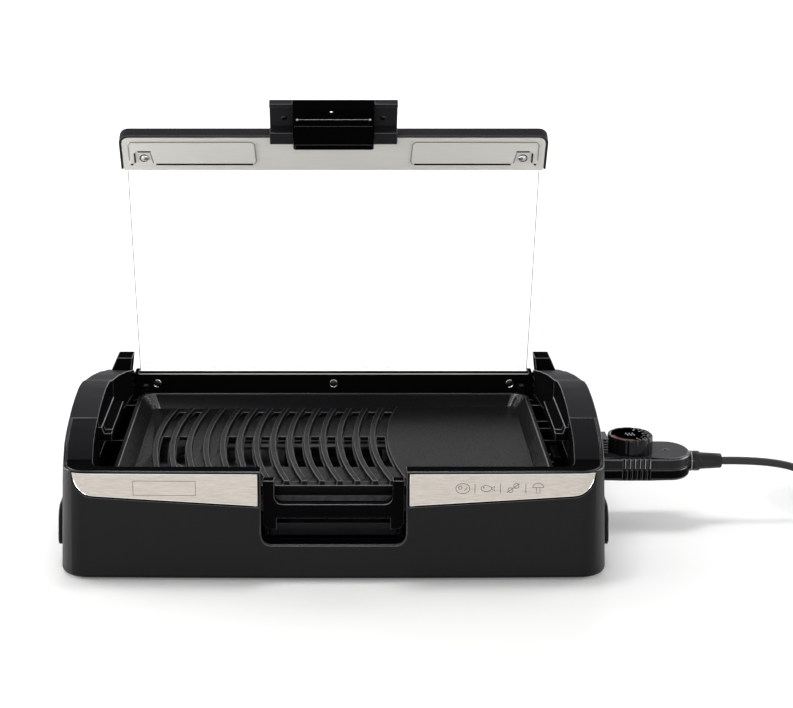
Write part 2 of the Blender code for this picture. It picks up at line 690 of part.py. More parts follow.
def arch_body(name, lowering, low):
    """Everything under the top edge of the base, seen from the side, lowered by a distance."""
    outline = [(BASE_FRONT_Y - OVERRUN, low), (BASE_FRONT_Y - OVERRUN, LEDGE_HEIGHT - lowering)]
    for depth_share, rise_share in ARCH_SHARES:
        y = BASE_FRONT_Y + BASE_DEPTH * depth_share
        outline.append((y, LEDGE_HEIGHT + ARCH_RISE * rise_share - lowering))
    outline += [(BASE_REAR_Y + OVERRUN, LEDGE_HEIGHT - lowering - OVERRUN), (BASE_REAR_Y + OVERRUN, low)]
    reach = BASE_HALF_WIDTH + OVERRUN
    return prism(name, outline, "X", -reach, reach)


def across(name, y0, y1, z0, z1, reach=BASE_HALF_WIDTH + OVERRUN):
    """A block right across the base."""
    return block(name, (-reach, y0, z0), (reach, y1, z1))


def pocket_body(name, growth, rear_y):
    """The front pocket with its rounded lower corners, open upwards."""
    half, sill = POCKET_HALF_WIDTH + growth, POCKET_SILL_HEIGHT - growth
    radius = POCKET_CORNER + growth
    outline = [(half, ARCH_TOP + OVERRUN), (-half, ARCH_TOP + OVERRUN)]
    outline += arc((-half + radius, sill + radius), radius, 180, 270, 4)
    outline += arc((half - radius, sill + radius), radius, 270, 360, 4)
    return prism(name, outline, "Y", BASE_FRONT_Y - OVERRUN, rear_y)


def trim_outline(growth):
    """Front view of the right trim plate, grown by a distance."""
    inner, top = TRIM_INNER_X - growth, TRIM_TOP + growth
    outline = [(inner, top), (inner, TRIM_TOP - TRIM_INNER_HEIGHT - growth)]
    across_radius = TRIM_OUTER_X - TRIM_CURVE_X + growth
    down_radius = TRIM_OUTER_HEIGHT + growth
    for i in range(TRIM_CURVE_STEPS + 1):
        turn = math.pi / 2 * i / TRIM_CURVE_STEPS
        outline.append((
            TRIM_CURVE_X + across_radius * math.sin(turn), TRIM_TOP - down_radius * math.cos(turn),
        ))
    if growth:
        outline.append((TRIM_OUTER_X + growth, top))
    return outline


def trim_prism(name, growth):
    return prism(name, trim_outline(growth), "Y", BASE_FRONT_Y - OVERRUN, WELL_FRONT_Y)


def side_at(y, z):
    """X of the housing's outer side at a place."""
    return side_x(y) - draft(z)


def build_housing():
    low = BASE_FOOT_GAP
    body = loft("outer_housing", [
        skin_loop(low, BASE_EDGE_ROUND),
        skin_loop(low + BASE_EDGE_ROUND * (1 - math.cos(math.pi / 4)), BASE_EDGE_ROUND * (1 - math.sin(math.pi / 4))),
        skin_loop(low + BASE_EDGE_ROUND, 0), skin_loop(LEDGE_HEIGHT, 0), skin_loop(ARCH_TOP + OVERRUN, 0),
    ])
    keep(body, arch_body("arch", 0, -OVERRUN))
    cut(body, loft("hollow", [
        skin_loop(-OVERRUN, SKIN + BASE_EDGE_ROUND), skin_loop(low + COVER_UNDERSIDE, SKIN + BASE_EDGE_ROUND),
        skin_loop(low + COVER_UNDERSIDE + BASE_EDGE_ROUND, SKIN), skin_loop(LEDGE_HEIGHT, SKIN),
        skin_loop(ARCH_TOP + BASE_DEPTH, SKIN),
    ]))
    cut(body, across("cap_room", FRONT_SEAM_Y, BASE_REAR_Y + OVERRUN, CAP_PARTING_HEIGHT, ARCH_TOP + OVERRUN))
    cut(body, rear_gate("gate"))
    cut(body, pocket_body("pocket", 0, WELL_FRONT_Y))
    for side in (1, -1):
        recess = cut(trim_prism("recess", TRIM_GROOVE), skin_body(
            "recess_floor", TRIM_SINK + TRIM_SHEET + FIT, -OVERRUN, ARCH_TOP + OVERRUN))
        if side < 0:
            whole = mirrored(recess, "recess_left")
            bpy.data.objects.remove(recess, do_unlink=True)
            recess = whole
        cut(body, recess)
    hole = SOCKET_RIM + FIT
    cut(body, block(
        "socket_hole",
        (SOCKET_INNER_X, -SOCKET_HALF_WIDTH - hole, SOCKET_BOTTOM - hole),
        (SOCKET_OUTER_X + OVERRUN, SOCKET_HALF_WIDTH + hole, SOCKET_TOP + hole),
    ))
    return body


def rear_gate(name):
    """The gap between the hinge covers, where the lid's rail turns."""
    return block(
        name, (-REAR_GATE_HALF_WIDTH, REAR_GATE_START_Y, REAR_GATE_HEIGHT),
        (REAR_GATE_HALF_WIDTH, BASE_REAR_Y + OVERRUN, ARCH_TOP + OVERRUN),
    )


def frame_shell(name, depth):
    """Top plate and inner wall between the skin and the well: an upside-down channel."""
    body = skin_body(name, depth, WELL_WALL_BOTTOM, ARCH_TOP + OVERRUN)
    keep(body, arch_body("arch", 0, -OVERRUN))
    core = skin_body("core", -OVERRUN, -OVERRUN, ARCH_TOP + OVERRUN)
    keep(core, arch_body("lowered_arch", SKIN, -OVERRUN - FIT))
    cut(core, well_body("well_wall", SKIN, -OVERRUN - OVERRUN, ARCH_TOP + BASE_DEPTH))
    cut(body, core)
    return body


def build_top_frame():
    body = frame_shell("top_frame", SKIN + FIT)
    cut(body, well_body("well", 0, -OVERRUN, ARCH_TOP + OVERRUN))
    cut(body, across("cap_room", FRONT_SEAM_Y, BASE_REAR_Y + OVERRUN, CAP_PARTING_HEIGHT, ARCH_TOP + OVERRUN))
    cut(body, rear_gate("gate"))
    liner = pocket_body("liner", LINER_WALL, WELL_FRONT_Y - SKIN / 2)
    keep(liner, skin_body("liner_limit", SKIN + FIT, -OVERRUN, LEDGE_HEIGHT - SKIN / 2))
    join(body, liner)
    cut(body, pocket_body("pocket", 0, WELL_FRONT_Y + OVERRUN + SKIN))
    rests = [(y, side) for y in REST_YS for side in (1, -1)] + [(y, 1) for y in REST_RIGHT_ONLY_YS]
    for y, side in rests:
        wall_x = side_x(y) - WELL_SIDE_INSET + SKIN / 2
        low_x, high_x = sorted((side * REST_INNER_X, side * wall_x))
        join(body, block(
            "rest", (low_x, y - REST_WIDTH / 2, REST_TOP - REST_SHEET), (high_x, y + REST_WIDTH / 2, REST_TOP),
        ))
    return body


def side_piece(name, front_y, rear_y):
    """The right half of the arched top between two seams."""
    body = skin_body(name, 0, CAP_PARTING_HEIGHT + FIT, ARCH_TOP + OVERRUN)
    keep(body, arch_body("arch", 0, -OVERRUN))
    inner = skin_body("inner", SKIN, -OVERRUN, ARCH_TOP + OVERRUN)
    keep(inner, arch_body("lowered_arch", SKIN, -OVERRUN - FIT))
    cut(inner, well_body("well_wall", SKIN, -OVERRUN - OVERRUN, ARCH_TOP + BASE_DEPTH))
    cut(body, inner)
    cut(body, well_body("well", 0, -OVERRUN, ARCH_TOP + OVERRUN))
    keep(body, block(
        "right_side", (TRIM_INNER_X, front_y, 0), (BASE_HALF_WIDTH + OVERRUN, rear_y, ARCH_TOP + OVERRUN),
    ))
    return body


def build_side_cap():
    body = side_piece("side_cap_right", FRONT_SEAM_Y + FIT, REAR_SEAM_Y)
    wall_x = side_x(SHELF_FRONT_Y) - WELL_SIDE_INSET

    def section(outer_x, drop):
        return [
            (SHELF_INNER_X, SHELF_BOTTOM), (SHELF_INNER_X, SHELF_TOP - drop), (SHELF_LIP_X, SHELF_TOP - drop),
            (SHELF_BACK_X, SHELF_BACK_TOP), (outer_x, SHELF_BACK_TOP), (outer_x, SHELF_BOTTOM),
        ]

    join(body, prism("shelf", section(wall_x + SKIN / 2, 0), "Y", FRONT_SEAM_Y + FIT, SHELF_REAR_Y))
    join(body, prism("shelf_nose", section(wall_x - FIT, SHELF_NOSE_DROP), "Y", SHELF_FRONT_Y, FRONT_SEAM_Y + SKIN))
    return body


def build_hinge_cover():
    body = side_piece("hinge_cover_right", REAR_SEAM_Y + FIT, BASE_REAR_Y)
    side_wall = block(
        "gate_wall", (REAR_GATE_HALF_WIDTH, WELL_REAR_Y - SKIN, CAP_PARTING_HEIGHT + FIT),
        (REAR_GATE_HALF_WIDTH + SKIN, BASE_REAR_Y - SKIN, LEDGE_HEIGHT + SKIN),
    )
    join(body, side_wall)
    cut(body, rear_gate("gate"))
    middle = (EAR_TOP + LEDGE_HEIGHT) / 2
    bulge_x = (EAR_TOP_OUTER_X + EAR_BASE_OUTER_X) / 2 + FIT + FIT
    ear = prism("ear", [
        (EAR_INNER_X + SKIN, EAR_ROOT), (EAR_INNER_X, EAR_TOP), (EAR_TOP_OUTER_X, EAR_TOP),
        (bulge_x, middle + FIT), (EAR_BASE_OUTER_X, EAR_ROOT),
    ], "Y", EAR_FRONT_Y, EAR_REAR_Y)
    join(body, ear)
    bore = HINGE_PIN_RADIUS + RUNNING_FIT
    cut(body, turned(
        "pin_bore", (REAR_GATE_HALF_WIDTH - OVERRUN, HINGE_Y, HINGE_Z), "X",
        [(0, bore), (HINGE_PIN_END_X - REAR_GATE_HALF_WIDTH + OVERRUN + FIT, bore)], 16,
    ))
    return body


def build_trim():
    body = skin_body("trim_plate_right", TRIM_SINK, -OVERRUN, ARCH_TOP)
    cut(body, skin_body("trim_back", TRIM_SINK + TRIM_SHEET, -OVERRUN - FIT, ARCH_TOP + OVERRUN))
    return keep(body, trim_prism("trim_outline", 0))


def build_side_grip():
    """A raised rim on the side wall with a finger hollow inside it, open downwards and out."""
    outline = rounded_rectangle((GRIP_FRONT_Y, GRIP_BOTTOM), (GRIP_REAR_Y, GRIP_TOP), GRIP_CORNER)
    inner = rounded_rectangle(
        (GRIP_FRONT_Y + GRIP_RIM, GRIP_BOTTOM + GRIP_RIM), (GRIP_REAR_Y - GRIP_RIM, GRIP_TOP - GRIP_RIM),
        GRIP_CORNER - GRIP_RIM,
    )
    body = prism("side_grip_right", outline, "X", REAR_GATE_HALF_WIDTH, BASE_HALF_WIDTH + BASE_HALF_WIDTH)
    keep(body, skin_body("grip_face", -GRIP_THROW, 0, LEDGE_HEIGHT))
    cut(body, skin_body("grip_back", -FIT, -OVERRUN, LEDGE_HEIGHT + OVERRUN))
    cut(body, prism("finger_hollow", inner, "X", REAR_GATE_HALF_WIDTH, BASE_HALF_WIDTH + BASE_HALF_WIDTH))
    return body


def build_socket_frame():
    def section(growth):
        return rounded_rectangle(
            (-SOCKET_HALF_WIDTH - growth, SOCKET_BOTTOM - growth), (SOCKET_HALF_WIDTH + growth, SOCKET_TOP + growth),
            SOCKET_RIM / 2 + growth / 2, 3,
        )

    outer, inner = section(SOCKET_RIM), section(0)
    return ring_loft("socket_frame", [
        [(SOCKET_INNER_X, y, z) for y, z in inner], [(SOCKET_INNER_X, y, z) for y, z in outer],
        [(SOCKET_OUTER_X, y, z) for y, z in outer], [(SOCKET_OUTER_X, y, z) for y, z in inner],
    ])


def build_bottom_cover():
    top = COVER_UNDERSIDE + COVER_SHEET
    depth = SKIN + BASE_EDGE_ROUND + FIT
    body = loft("bottom_cover", [skin_loop(COVER_UNDERSIDE, depth), skin_loop(top, depth)])
    for side in (1, -1):
        ledge_top = TRAY_BOTTOM - FIT
        outline = [
            (side * RAIL_OUTER_X, top - FIT), (side * RAIL_OUTER_X, RAIL_TOP), (side * (RAIL_OUTER_X - RAIL_WALL), RAIL_TOP),
            (side * (RAIL_OUTER_X - RAIL_WALL), ledge_top), (side * (RAIL_OUTER_X - RAIL_WALL - RAIL_LEDGE), ledge_top),
            (side * (RAIL_OUTER_X - RAIL_WALL - RAIL_LEDGE), ledge_top - RAIL_WALL),
            (side * (RAIL_OUTER_X - RAIL_WALL), ledge_top - RAIL_WALL), (side * (RAIL_OUTER_X - RAIL_WALL), top - FIT),
        ]
        join(body, prism("rail", outline, "Y", RAIL_FRONT_Y, RAIL_REAR_Y))
    for x in (POST_X, -POST_X):
        for y in (POST_Y, -POST_Y):
            join(body, turned(
                "post", (x, y, top - FIT), "Z", [(0, POST_RADIUS), (pan_underside() - FIT - top + FIT, POST_RADIUS)], 12,
            ))
    for x in (FOOT_X, -FOOT_X):
        for y in (FOOT_Y, -FOOT_Y):
            cut(body, turned(
                "foot_seat", (x, y, COVER_UNDERSIDE - OVERRUN), "Z",
                [(0, FOOT_TOP_RADIUS + FIT), (OVERRUN + FOOT_RECESS, FOOT_TOP_RADIUS + FIT)], 16,
            ), turned(
                "foot_hole", (x, y, COVER_UNDERSIDE), "Z", [(0, POST_RADIUS), (COVER_SHEET + OVERRUN, POST_RADIUS)], 16,
            ))
    return body


def build_foot(name, x, y):
    """A rubber foot, sunk in a recess of the bottom cover, with its stem pushed through."""
    stem = POST_RADIUS - FIT
    seat = COVER_UNDERSIDE + FOOT_RECESS
    return turned(name, (x, y, 0), "Z", [
        (0, FOOT_RADIUS), (COVER_UNDERSIDE / 2, FOOT_TOP_RADIUS), (seat - FIT, FOOT_TOP_RADIUS),
        (seat - FIT / 2, stem), (COVER_UNDERSIDE + COVER_SHEET, stem),
    ], 16)


def pan_underside():
    """Height of the pan's underside over the posts."""
    share = (POST_X - PAN_DRAIN_HALF_WIDTH) / (PAN_HALF_WIDTH - PAN_DRAIN_HALF_WIDTH)
    depth_share = (POST_Y - PAN_DRAIN_HALF_DEPTH) / (PAN_HALF_DEPTH - PAN_DRAIN_HALF_DEPTH)
    return PAN_DRAIN_HEIGHT + (PAN_EDGE_HEIGHT - PAN_DRAIN_HEIGHT) * min(share, depth_share) - PAN_SHEET - FIT


def build_pan():
    def loop(inset, z, drain=False):
        half_width = PAN_DRAIN_HALF_WIDTH if drain else PAN_HALF_WIDTH
        half_depth = PAN_DRAIN_HALF_DEPTH if drain else PAN_HALF_DEPTH
        radius = PAN_DRAIN_CORNER if drain else PAN_CORNER
        outline = rounded_rectangle(
            (-half_width + inset, -half_depth + inset), (half_width - inset, half_depth - inset), radius - inset,
        )
        return [(x, y, z) for x, y in outline]

    sheet = PAN_SHEET
    body = ring_loft("reflector_pan", [
        loop(-PAN_FLANGE, PAN_TOP), loop(sheet, PAN_TOP), loop(sheet, PAN_EDGE_HEIGHT),
        loop(sheet, PAN_DRAIN_HEIGHT, True), loop(sheet, PAN_DRAIN_HEIGHT - PAN_LIP - sheet, True),
        loop(0, PAN_DRAIN_HEIGHT - PAN_LIP - sheet, True), loop(0, PAN_DRAIN_HEIGHT - sheet, True),
        loop(0, PAN_EDGE_HEIGHT - sheet), loop(0, PAN_TOP - sheet), loop(-PAN_FLANGE, PAN_TOP - sheet),
    ])
    return cut(body, block(
        "terminal_notch", (BLOCK_INNER_X, -BLOCK_HALF_WIDTH - FIT, BLOCK_BOTTOM - FIT),
        (PAN_HALF_WIDTH + PAN_FLANGE + OVERRUN, BLOCK_HALF_WIDTH + FIT, PAN_TOP + OVERRUN),
    ))


def tube(name, points, radius, resolution):
    """A round tube on a polyline, as a mesh with filled ends."""
    curve = bpy.data.curves.new(name, "CURVE")
    curve.dimensions = "3D"
    curve.bevel_depth = radius
    curve.bevel_resolution = resolution
    curve.use_fill_caps = True
    spline = curve.splines.new("POLY")
    spline.points.add(len(points) - 1)
    for target, point in zip(spline.points, points):
        target.co = (*point, 1)
    obj = bpy.data.objects.new(name, curve)
    bpy.context.scene.collection.objects.link(obj)
    return obj


def element_path():
    """The hairpin of the heating element, from one terminal round to the other."""
    leg, bend = ELEMENT_LEG_Y, ELEMENT_BEND
    half = [(TERMINAL_X, -TERMINAL_Y)]
    turn_x = ELEMENT_RIGHT_X + bend
    half += [(turn_x + bend, -TERMINAL_Y)]
    half += arc((turn_x + bend, -TERMINAL_Y - bend), bend, 90, 180, 4)[1:]
    half += arc((turn_x - bend, -leg + bend), bend, 0, -90, 4)[1:]
    half += [(0, -leg)]
    half += arc((ELEMENT_LEFT_X, 0), leg, 270, 180, 7)
    path = half + [(x, -y) for x, y in reversed(half[:-1])]
    return [(x, y, ELEMENT_HEIGHT) for x, y in path]


def build_terminal_block():
    body = block(
        "terminal_block", (BLOCK_INNER_X + FIT, -BLOCK_HALF_WIDTH, BLOCK_BOTTOM),
        (BLOCK_OUTER_X, BLOCK_HALF_WIDTH, BLOCK_TOP),
    )
    length = BLOCK_OUTER_X - BLOCK_INNER_X + OVERRUN + OVERRUN
    for y, radius in ((TERMINAL_Y, CONTACT_RADIUS + FIT), (-TERMINAL_Y, CONTACT_RADIUS + FIT), (0, ROD_HOLE_RADIUS)):
        cut(body, turned(
            "hole", (BLOCK_INNER_X - OVERRUN, y, PROBE_AXIS_Z if y == 0 else ELEMENT_HEIGHT), "X",
            [(0, radius), (length, radius)], 12,
        ))
    return body


def build_contact(name, y):
    """A terminal pin in the ceramic block, which the probe's socket slides over."""
    return turned(name, (TERMINAL_X + FIT, y, ELEMENT_HEIGHT), "X", [
        (0, CONTACT_RADIUS), (CONTACT_END_X - TERMINAL_X - CONTACT_RADIUS, CONTACT_RADIUS),
        (CONTACT_END_X - TERMINAL_X, CONTACT_RADIUS / 2),
    ], 12)


def build_clip(name, x):
    """A steel bridge on the pan that carries both legs of the element."""
    top = ELEMENT_HEIGHT - ELEMENT_RADIUS - FIT
    foot = pan_floor_at(CLIP_SPAN_Y) + FIT
    sheet = CLIP_SHEET
    outline = [
        (-CLIP_SPAN_Y - FOOT_RADIUS, foot), (-CLIP_SPAN_Y, foot), (-CLIP_SPAN_Y, top - sheet),
        (CLIP_SPAN_Y, top - sheet), (CLIP_SPAN_Y, foot), (CLIP_SPAN_Y + FOOT_RADIUS, foot),
        (CLIP_SPAN_Y + FOOT_RADIUS, foot + sheet), (CLIP_SPAN_Y + sheet, foot + sheet), (CLIP_SPAN_Y + sheet, top),
        (-CLIP_SPAN_Y - sheet, top), (-CLIP_SPAN_Y - sheet, foot + sheet), (-CLIP_SPAN_Y - FOOT_RADIUS, foot + sheet),
    ]
    return prism(name, outline, "X", x - CLIP_WIDTH / 2, x + CLIP_WIDTH / 2)


def pan_floor_at(y):
    """Height of the pan's floor at the clips, which stand on its slope to the left and right."""
    share = (CLIP_X - CLIP_WIDTH / 2 - PAN_DRAIN_HALF_WIDTH) / (PAN_HALF_WIDTH - PAN_DRAIN_HALF_WIDTH)
    high_share = (CLIP_X + CLIP_WIDTH / 2 - PAN_DRAIN_HALF_WIDTH) / (PAN_HALF_WIDTH - PAN_DRAIN_HALF_WIDTH)
    assert high_share > share and y > 0
    return PAN_DRAIN_HEIGHT + (PAN_EDGE_HEIGHT - PAN_DRAIN_HEIGHT) * high_share


def rib_x(middle_x, y):
    """X of a rib's middle line, bent on a wide arc that bulges to the left."""
    return middle_x + RIB_ARC_RADIUS - math.sqrt(RIB_ARC_RADIUS ** 2 - y ** 2)


def curved_bar(name, middle_x, y0, y1, steps, section):
    """A bar along the ribs' arc. Its section is a list of (offset along X, Z)."""
    loops = []
    for i in range(steps + 1):
        y = y0 + (y1 - y0) * i / steps
        loops.append([(rib_x(middle_x, y) + offset, y, z) for offset, z in section])
    return loft(name, loops)


def build_plate():
    def loop(inset, z, front=0.0):
        outline = rounded_rectangle(
            (-PLATE_HALF_WIDTH + inset, -PLATE_HALF_DEPTH + inset - front),
            (PLATE_HALF_WIDTH - inset, PLATE_HALF_DEPTH - inset), max(PLATE_CORNER - inset / 2, PLATE_RIM_EDGE), 5,
        )
        return [(x, y, z) for x, y in outline]

    body = loft("grill_plate", [
        loop(PLATE_BELLY_INSET, PLATE_UNDERSIDE), loop(PLATE_RIM_EDGE, PLATE_RIM_HEIGHT - PLATE_RIM_EDGE),
        loop(0, PLATE_RIM_HEIGHT - PLATE_RIM_EDGE), loop(0, PLATE_RIM_HEIGHT),
    ])
    join(body, block(
        "front_skirt", (-PLATE_SKIRT_HALF_WIDTH, -PLATE_HALF_DEPTH, PLATE_SKIRT_BOTTOM),
        (PLATE_SKIRT_HALF_WIDTH, -PLATE_HALF_DEPTH + PLATE_SKIRT_DEPTH, PLATE_FLOOR - FIT),
    ))
    join(body, block(
        "front_floor", (-PLATE_SKIRT_HALF_WIDTH, -PLATE_HALF_DEPTH, PLATE_UNDERSIDE),
        (PLATE_SKIRT_HALF_WIDTH, -PLATE_HALF_DEPTH + PLATE_BELLY_INSET + OVERRUN, PLATE_FLOOR - FIT),
    ))
    rim, slope = PLATE_RIM_TOP_WIDTH, PLATE_SLOPE_WIDTH
    open_front = slope + rim + OVERRUN
    steep = (PLATE_RIM_HEIGHT + OVERRUN - PLATE_FLOOR) / (PLATE_RIM_HEIGHT - PLATE_FLOOR)
    cut(body, loft("dish", [
        loop(rim + slope, PLATE_FLOOR, open_front), loop(rim + slope - slope * steep, PLATE_RIM_HEIGHT + OVERRUN, open_front),
    ]))
    griddle = [(rib_x(GRIDDLE_EDGE_X, y), y) for y in (
        GRIDDLE_FRONT_Y + (GRIDDLE_REAR_Y - GRIDDLE_FRONT_Y) * i / RIB_STEPS for i in range(RIB_STEPS + 1))]
    griddle = [(GRIDDLE_RIGHT_X, GRIDDLE_REAR_Y), (GRIDDLE_RIGHT_X, GRIDDLE_FRONT_Y), *griddle]
    join(body, prism("griddle", griddle, "Z", PLATE_FLOOR - PLATE_SHEET_BITE, PLATE_FLOOR + GRIDDLE_RISE))
    top, foot = RIB_TOP_WIDTH / 2, RIB_FOOT_WIDTH / 2
    rib_section = [
        (-foot, PLATE_FLOOR - PLATE_SHEET_BITE), (foot, PLATE_FLOOR - PLATE_SHEET_BITE),
        (top, PLATE_FLOOR + RIB_HEIGHT), (-top, PLATE_FLOOR + RIB_HEIGHT),
    ]
    ribs = [curved_bar("rib", RIB_FIRST_X + RIB_PITCH * i, RIB_FRONT_Y, RIB_REAR_Y, RIB_STEPS, rib_section)
            for i in range(RIB_COUNT)]
    join(body, *ribs)
    half = SLOT_WIDTH / 2
    low, high = PLATE_UNDERSIDE - OVERRUN, PLATE_FLOOR + RIB_HEIGHT + OVERRUN
    slot_section = [(-half, low), (half, low), (half, high), (-half, high)]
    slots = []
    for gap in range(RIB_COUNT):
        if gap in UNSLOTTED_GAPS:
            continue
        middle = RIB_FIRST_X + RIB_PITCH * (gap + 0.5)
        for span, steps in ((SLOT_FRONT_SPAN_Y, SLOT_STEPS), (SLOT_REAR_SPAN_Y, 2)):
            slots.append(curved_bar("slot", middle, *span, steps, slot_section))
    return cut(body, *slots)


def build_tray():
    outer = rounded_rectangle((-TRAY_HALF_WIDTH, TRAY_FRONT_Y), (TRAY_HALF_WIDTH, TRAY_REAR_Y), TRAY_WALL * 3)
    inner = rounded_rectangle(
        (-TRAY_HALF_WIDTH + TRAY_WALL, TRAY_FRONT_Y + TRAY_WALL), (TRAY_HALF_WIDTH - TRAY_WALL, TRAY_REAR_Y - TRAY_WALL),
        TRAY_WALL * 2,
    )
    body = prism("drip_tray", outer, "Z", TRAY_BOTTOM, TRAY_TOP)
    return cut(body, prism("tray_inside", inner, "Z", TRAY_BOTTOM + TRAY_WALL, TRAY_TOP + OVERRUN))


def build_tray_front():
    """Two posts and a bar round a notch, on the front of the drip tray."""
    half, notch = TRAY_FRONT_HALF_WIDTH, TRAY_FRONT_HALF_WIDTH - TRAY_POST_WIDTH
    radius, foot = TRAY_NOTCH_CORNER, TRAY_STEP_BOTTOM
    outline = [(half, TRAY_POST_TOP), (notch, TRAY_POST_TOP)]
    outline += arc((notch - radius, TRAY_BAR_TOP + radius), radius, 0, -90, 4)
    outline += arc((-notch + radius, TRAY_BAR_TOP + radius), radius, -90, -180, 4)
    outline += [(-notch, TRAY_POST_TOP), (-half, TRAY_POST_TOP)]
    outline += arc((-half + radius, foot + radius), radius, 180, 270, 4)
    outline += [
        (-TRAY_STEP_X, foot), (-TRAY_STEP_X, TRAY_BAR_BOTTOM), (TRAY_STEP_X, TRAY_BAR_BOTTOM), (TRAY_STEP_X, foot),
    ]
    outline += arc((half - radius, foot + radius), radius, -90, 0, 4)
    return prism("tray_front", outline, "Y", TRAY_FRONT_FACE_Y, TRAY_FRONT_FACE_Y + TRAY_FRONT_THICKNESS)


def glass_point(along, depth):
    """(reach, rise) of a point on the pane: along its inner face from the bend's start, and out of it."""
    bend = math.radians(GLASS_BEND_DEGREES)
    arc_length = GLASS_BEND_RADIUS * bend
    turn = min(max(along, 0) / arc_length, 1) * bend
    straight = max(along - arc_length, 0)
    reach = GLASS_FLAT_REACH + min(along, 0) + GLASS_BEND_RADIUS * math.sin(turn) + straight * math.cos(turn)
    rise = GLASS_RISE - GLASS_BEND_RADIUS * (1 - math.cos(turn)) - straight * math.sin(turn)
    return reach + depth * math.sin(turn), rise + depth * math.cos(turn)


def after_bend(along):
    """Distance along the pane of a place after the bend."""
    return GLASS_BEND_RADIUS * math.radians(GLASS_BEND_DEGREES) + along


def glass_half_width(reach):
    share = (reach - GLASS_START_REACH) / (GLASS_FLAT_REACH - GLASS_START_REACH)
    return GLASS_REAR_HALF_WIDTH + (GLASS_FRONT_HALF_WIDTH - GLASS_REAR_HALF_WIDTH) * min(share, 1)


def pane_loops(stations, low, high, half_width):
    """Rectangular loops across the pane at each station, between two depths."""
    loops = []
    for along in stations:
        inner, outer = glass_point(along, low), glass_point(along, high)
        half = half_width(inner[0])
        loops.append([
            (-half, -inner[0], inner[1]), (half, -inner[0], inner[1]),
            (half, -outer[0], outer[1]), (-half, -outer[0], outer[1]),
        ])
    return loops


def build_glass():
    start = GLASS_START_REACH - GLASS_FLAT_REACH
    bend = after_bend(0)
    stations = [start, *(bend * i / GLASS_BEND_STEPS for i in range(GLASS_BEND_STEPS + 1))]
    stations.append(after_bend(GLASS_STRAIGHT))
    body = loft("lid_glass", pane_loops(stations, 0, GLASS_SHEET, glass_half_width))
    hole = SCREW_SHANK_RADIUS + FIT
    middle = (RAIL_LOW_REACH + RAIL_HIGH_REACH) / 2
    for x in (0, RAIL_SCREW_X, -RAIL_SCREW_X):
        cut(body, turned(
            "glass_hole", (x, -middle, GLASS_RISE - OVERRUN), "Z",
            [(0, hole), (GLASS_SHEET + OVERRUN + OVERRUN, hole)], 12,
        ))
    return body


def flat_on_pane(name, outline, low, high):
    """An outline of (x, distance after the bend) given thickness between two depths of the pane."""
    loops = []
    for depth in (low, high):
        loop = []
        for x, along in outline:
            reach, rise = glass_point(after_bend(along), depth)
            loop.append((x, -reach, rise))
        loops.append(loop)
    return loft(name, loops)


def build_band():
    low, high = BAND_START, LIDFRAME_START + LIDFRAME_LENGTH - LIDFRAME_RIM - FIT
    radius = LIDFRAME_CORNER - LIDFRAME_RIM
    outline = [(-BAND_HALF_WIDTH, low), (BAND_HALF_WIDTH, low)]
    outline += arc((BAND_HALF_WIDTH - radius, high - radius), radius, 0, 90, 3)
    outline += arc((-BAND_HALF_WIDTH + radius, high - radius), radius, 90, 180, 3)
    body = flat_on_pane("lid_band", outline, -FIT - BAND_SHEET, -FIT)
    cut(body, *(band_screw_cutter(x) for x in (BAND_SCREW_X, -BAND_SCREW_X)))
    return body


def lidframe_outline(inset):
    """Rounded at its two front corners, straight at the back edge."""
    half, low = LIDFRAME_HALF_WIDTH - inset, LIDFRAME_START
    high, radius = LIDFRAME_START + LIDFRAME_LENGTH - inset, LIDFRAME_CORNER - inset
    outline = [(-half, low), (half, low)]
    outline += arc((half - radius, high - radius), radius, 0, 90, 5)
    outline += arc((-half + radius, high - radius), radius, 90, 180, 5)
    return outline


def build_lidframe():
    body = flat_on_pane("lid_frame", lidframe_outline(0), -LIDFRAME_LIP, GLASS_SHEET + FIT + LIDFRAME_SHEET)
    low = LIDFRAME_START - OVERRUN
    half, high = LIDFRAME_HALF_WIDTH - LIDFRAME_RIM, LIDFRAME_START + LIDFRAME_LENGTH - LIDFRAME_RIM
    radius = LIDFRAME_CORNER - LIDFRAME_RIM
    room = [(-half, low), (half, low)]
    room += arc((half - radius, high - radius), radius, 0, 90, 3)
    room += arc((-half + radius, high - radius), radius, 90, 180, 3)
    cut(body, flat_on_pane("pane_room", room, -LIDFRAME_LIP - OVERRUN, GLASS_SHEET + FIT))
    return body


def prism_on_pane(name, places, half_width):
    """A side view of (distance after the bend, depth) pushed across the lid."""
    outline = []
    for along, depth in places:
        reach, rise = glass_point(after_bend(along), depth)
        outline.append((-reach, rise))
    return prism(name, outline, "X", -half_width, half_width)


def build_handle():
    top = GLASS_SHEET + FIT + LIDFRAME_SHEET
    under, face = top - HANDLE_SHEET, -LIDFRAME_LIP - FIT
    start, end = LIDFRAME_START + LIDFRAME_LENGTH + FIT, HANDLE_END
    body = prism_on_pane("lid_handle", [
        (start, top), (end - HANDLE_CHAMFER, top), (end, top - HANDLE_CHAMFER), (end, HANDLE_LIP_DEPTH),
        (end - HANDLE_LIP_LENGTH, HANDLE_LIP_DEPTH), (end - HANDLE_LIP_LENGTH, under), (start + HANDLE_ROOT, under),
        (start + HANDLE_ROOT, face - HANDLE_FLANGE_SHEET), (HANDLE_FLANGE_START, face - HANDLE_FLANGE_SHEET),
        (HANDLE_FLANGE_START, face), (start, face),
    ], HANDLE_HALF_WIDTH)
    low, high = -INSERT_DEPTH - OVERRUN, under
    room = [(INSERT_START, low), (end + OVERRUN, low), (end + OVERRUN, high), (INSERT_START, high)]
    return cut(body, prism_on_pane("insert_room", room, INSERT_HALF_WIDTH + FIT))


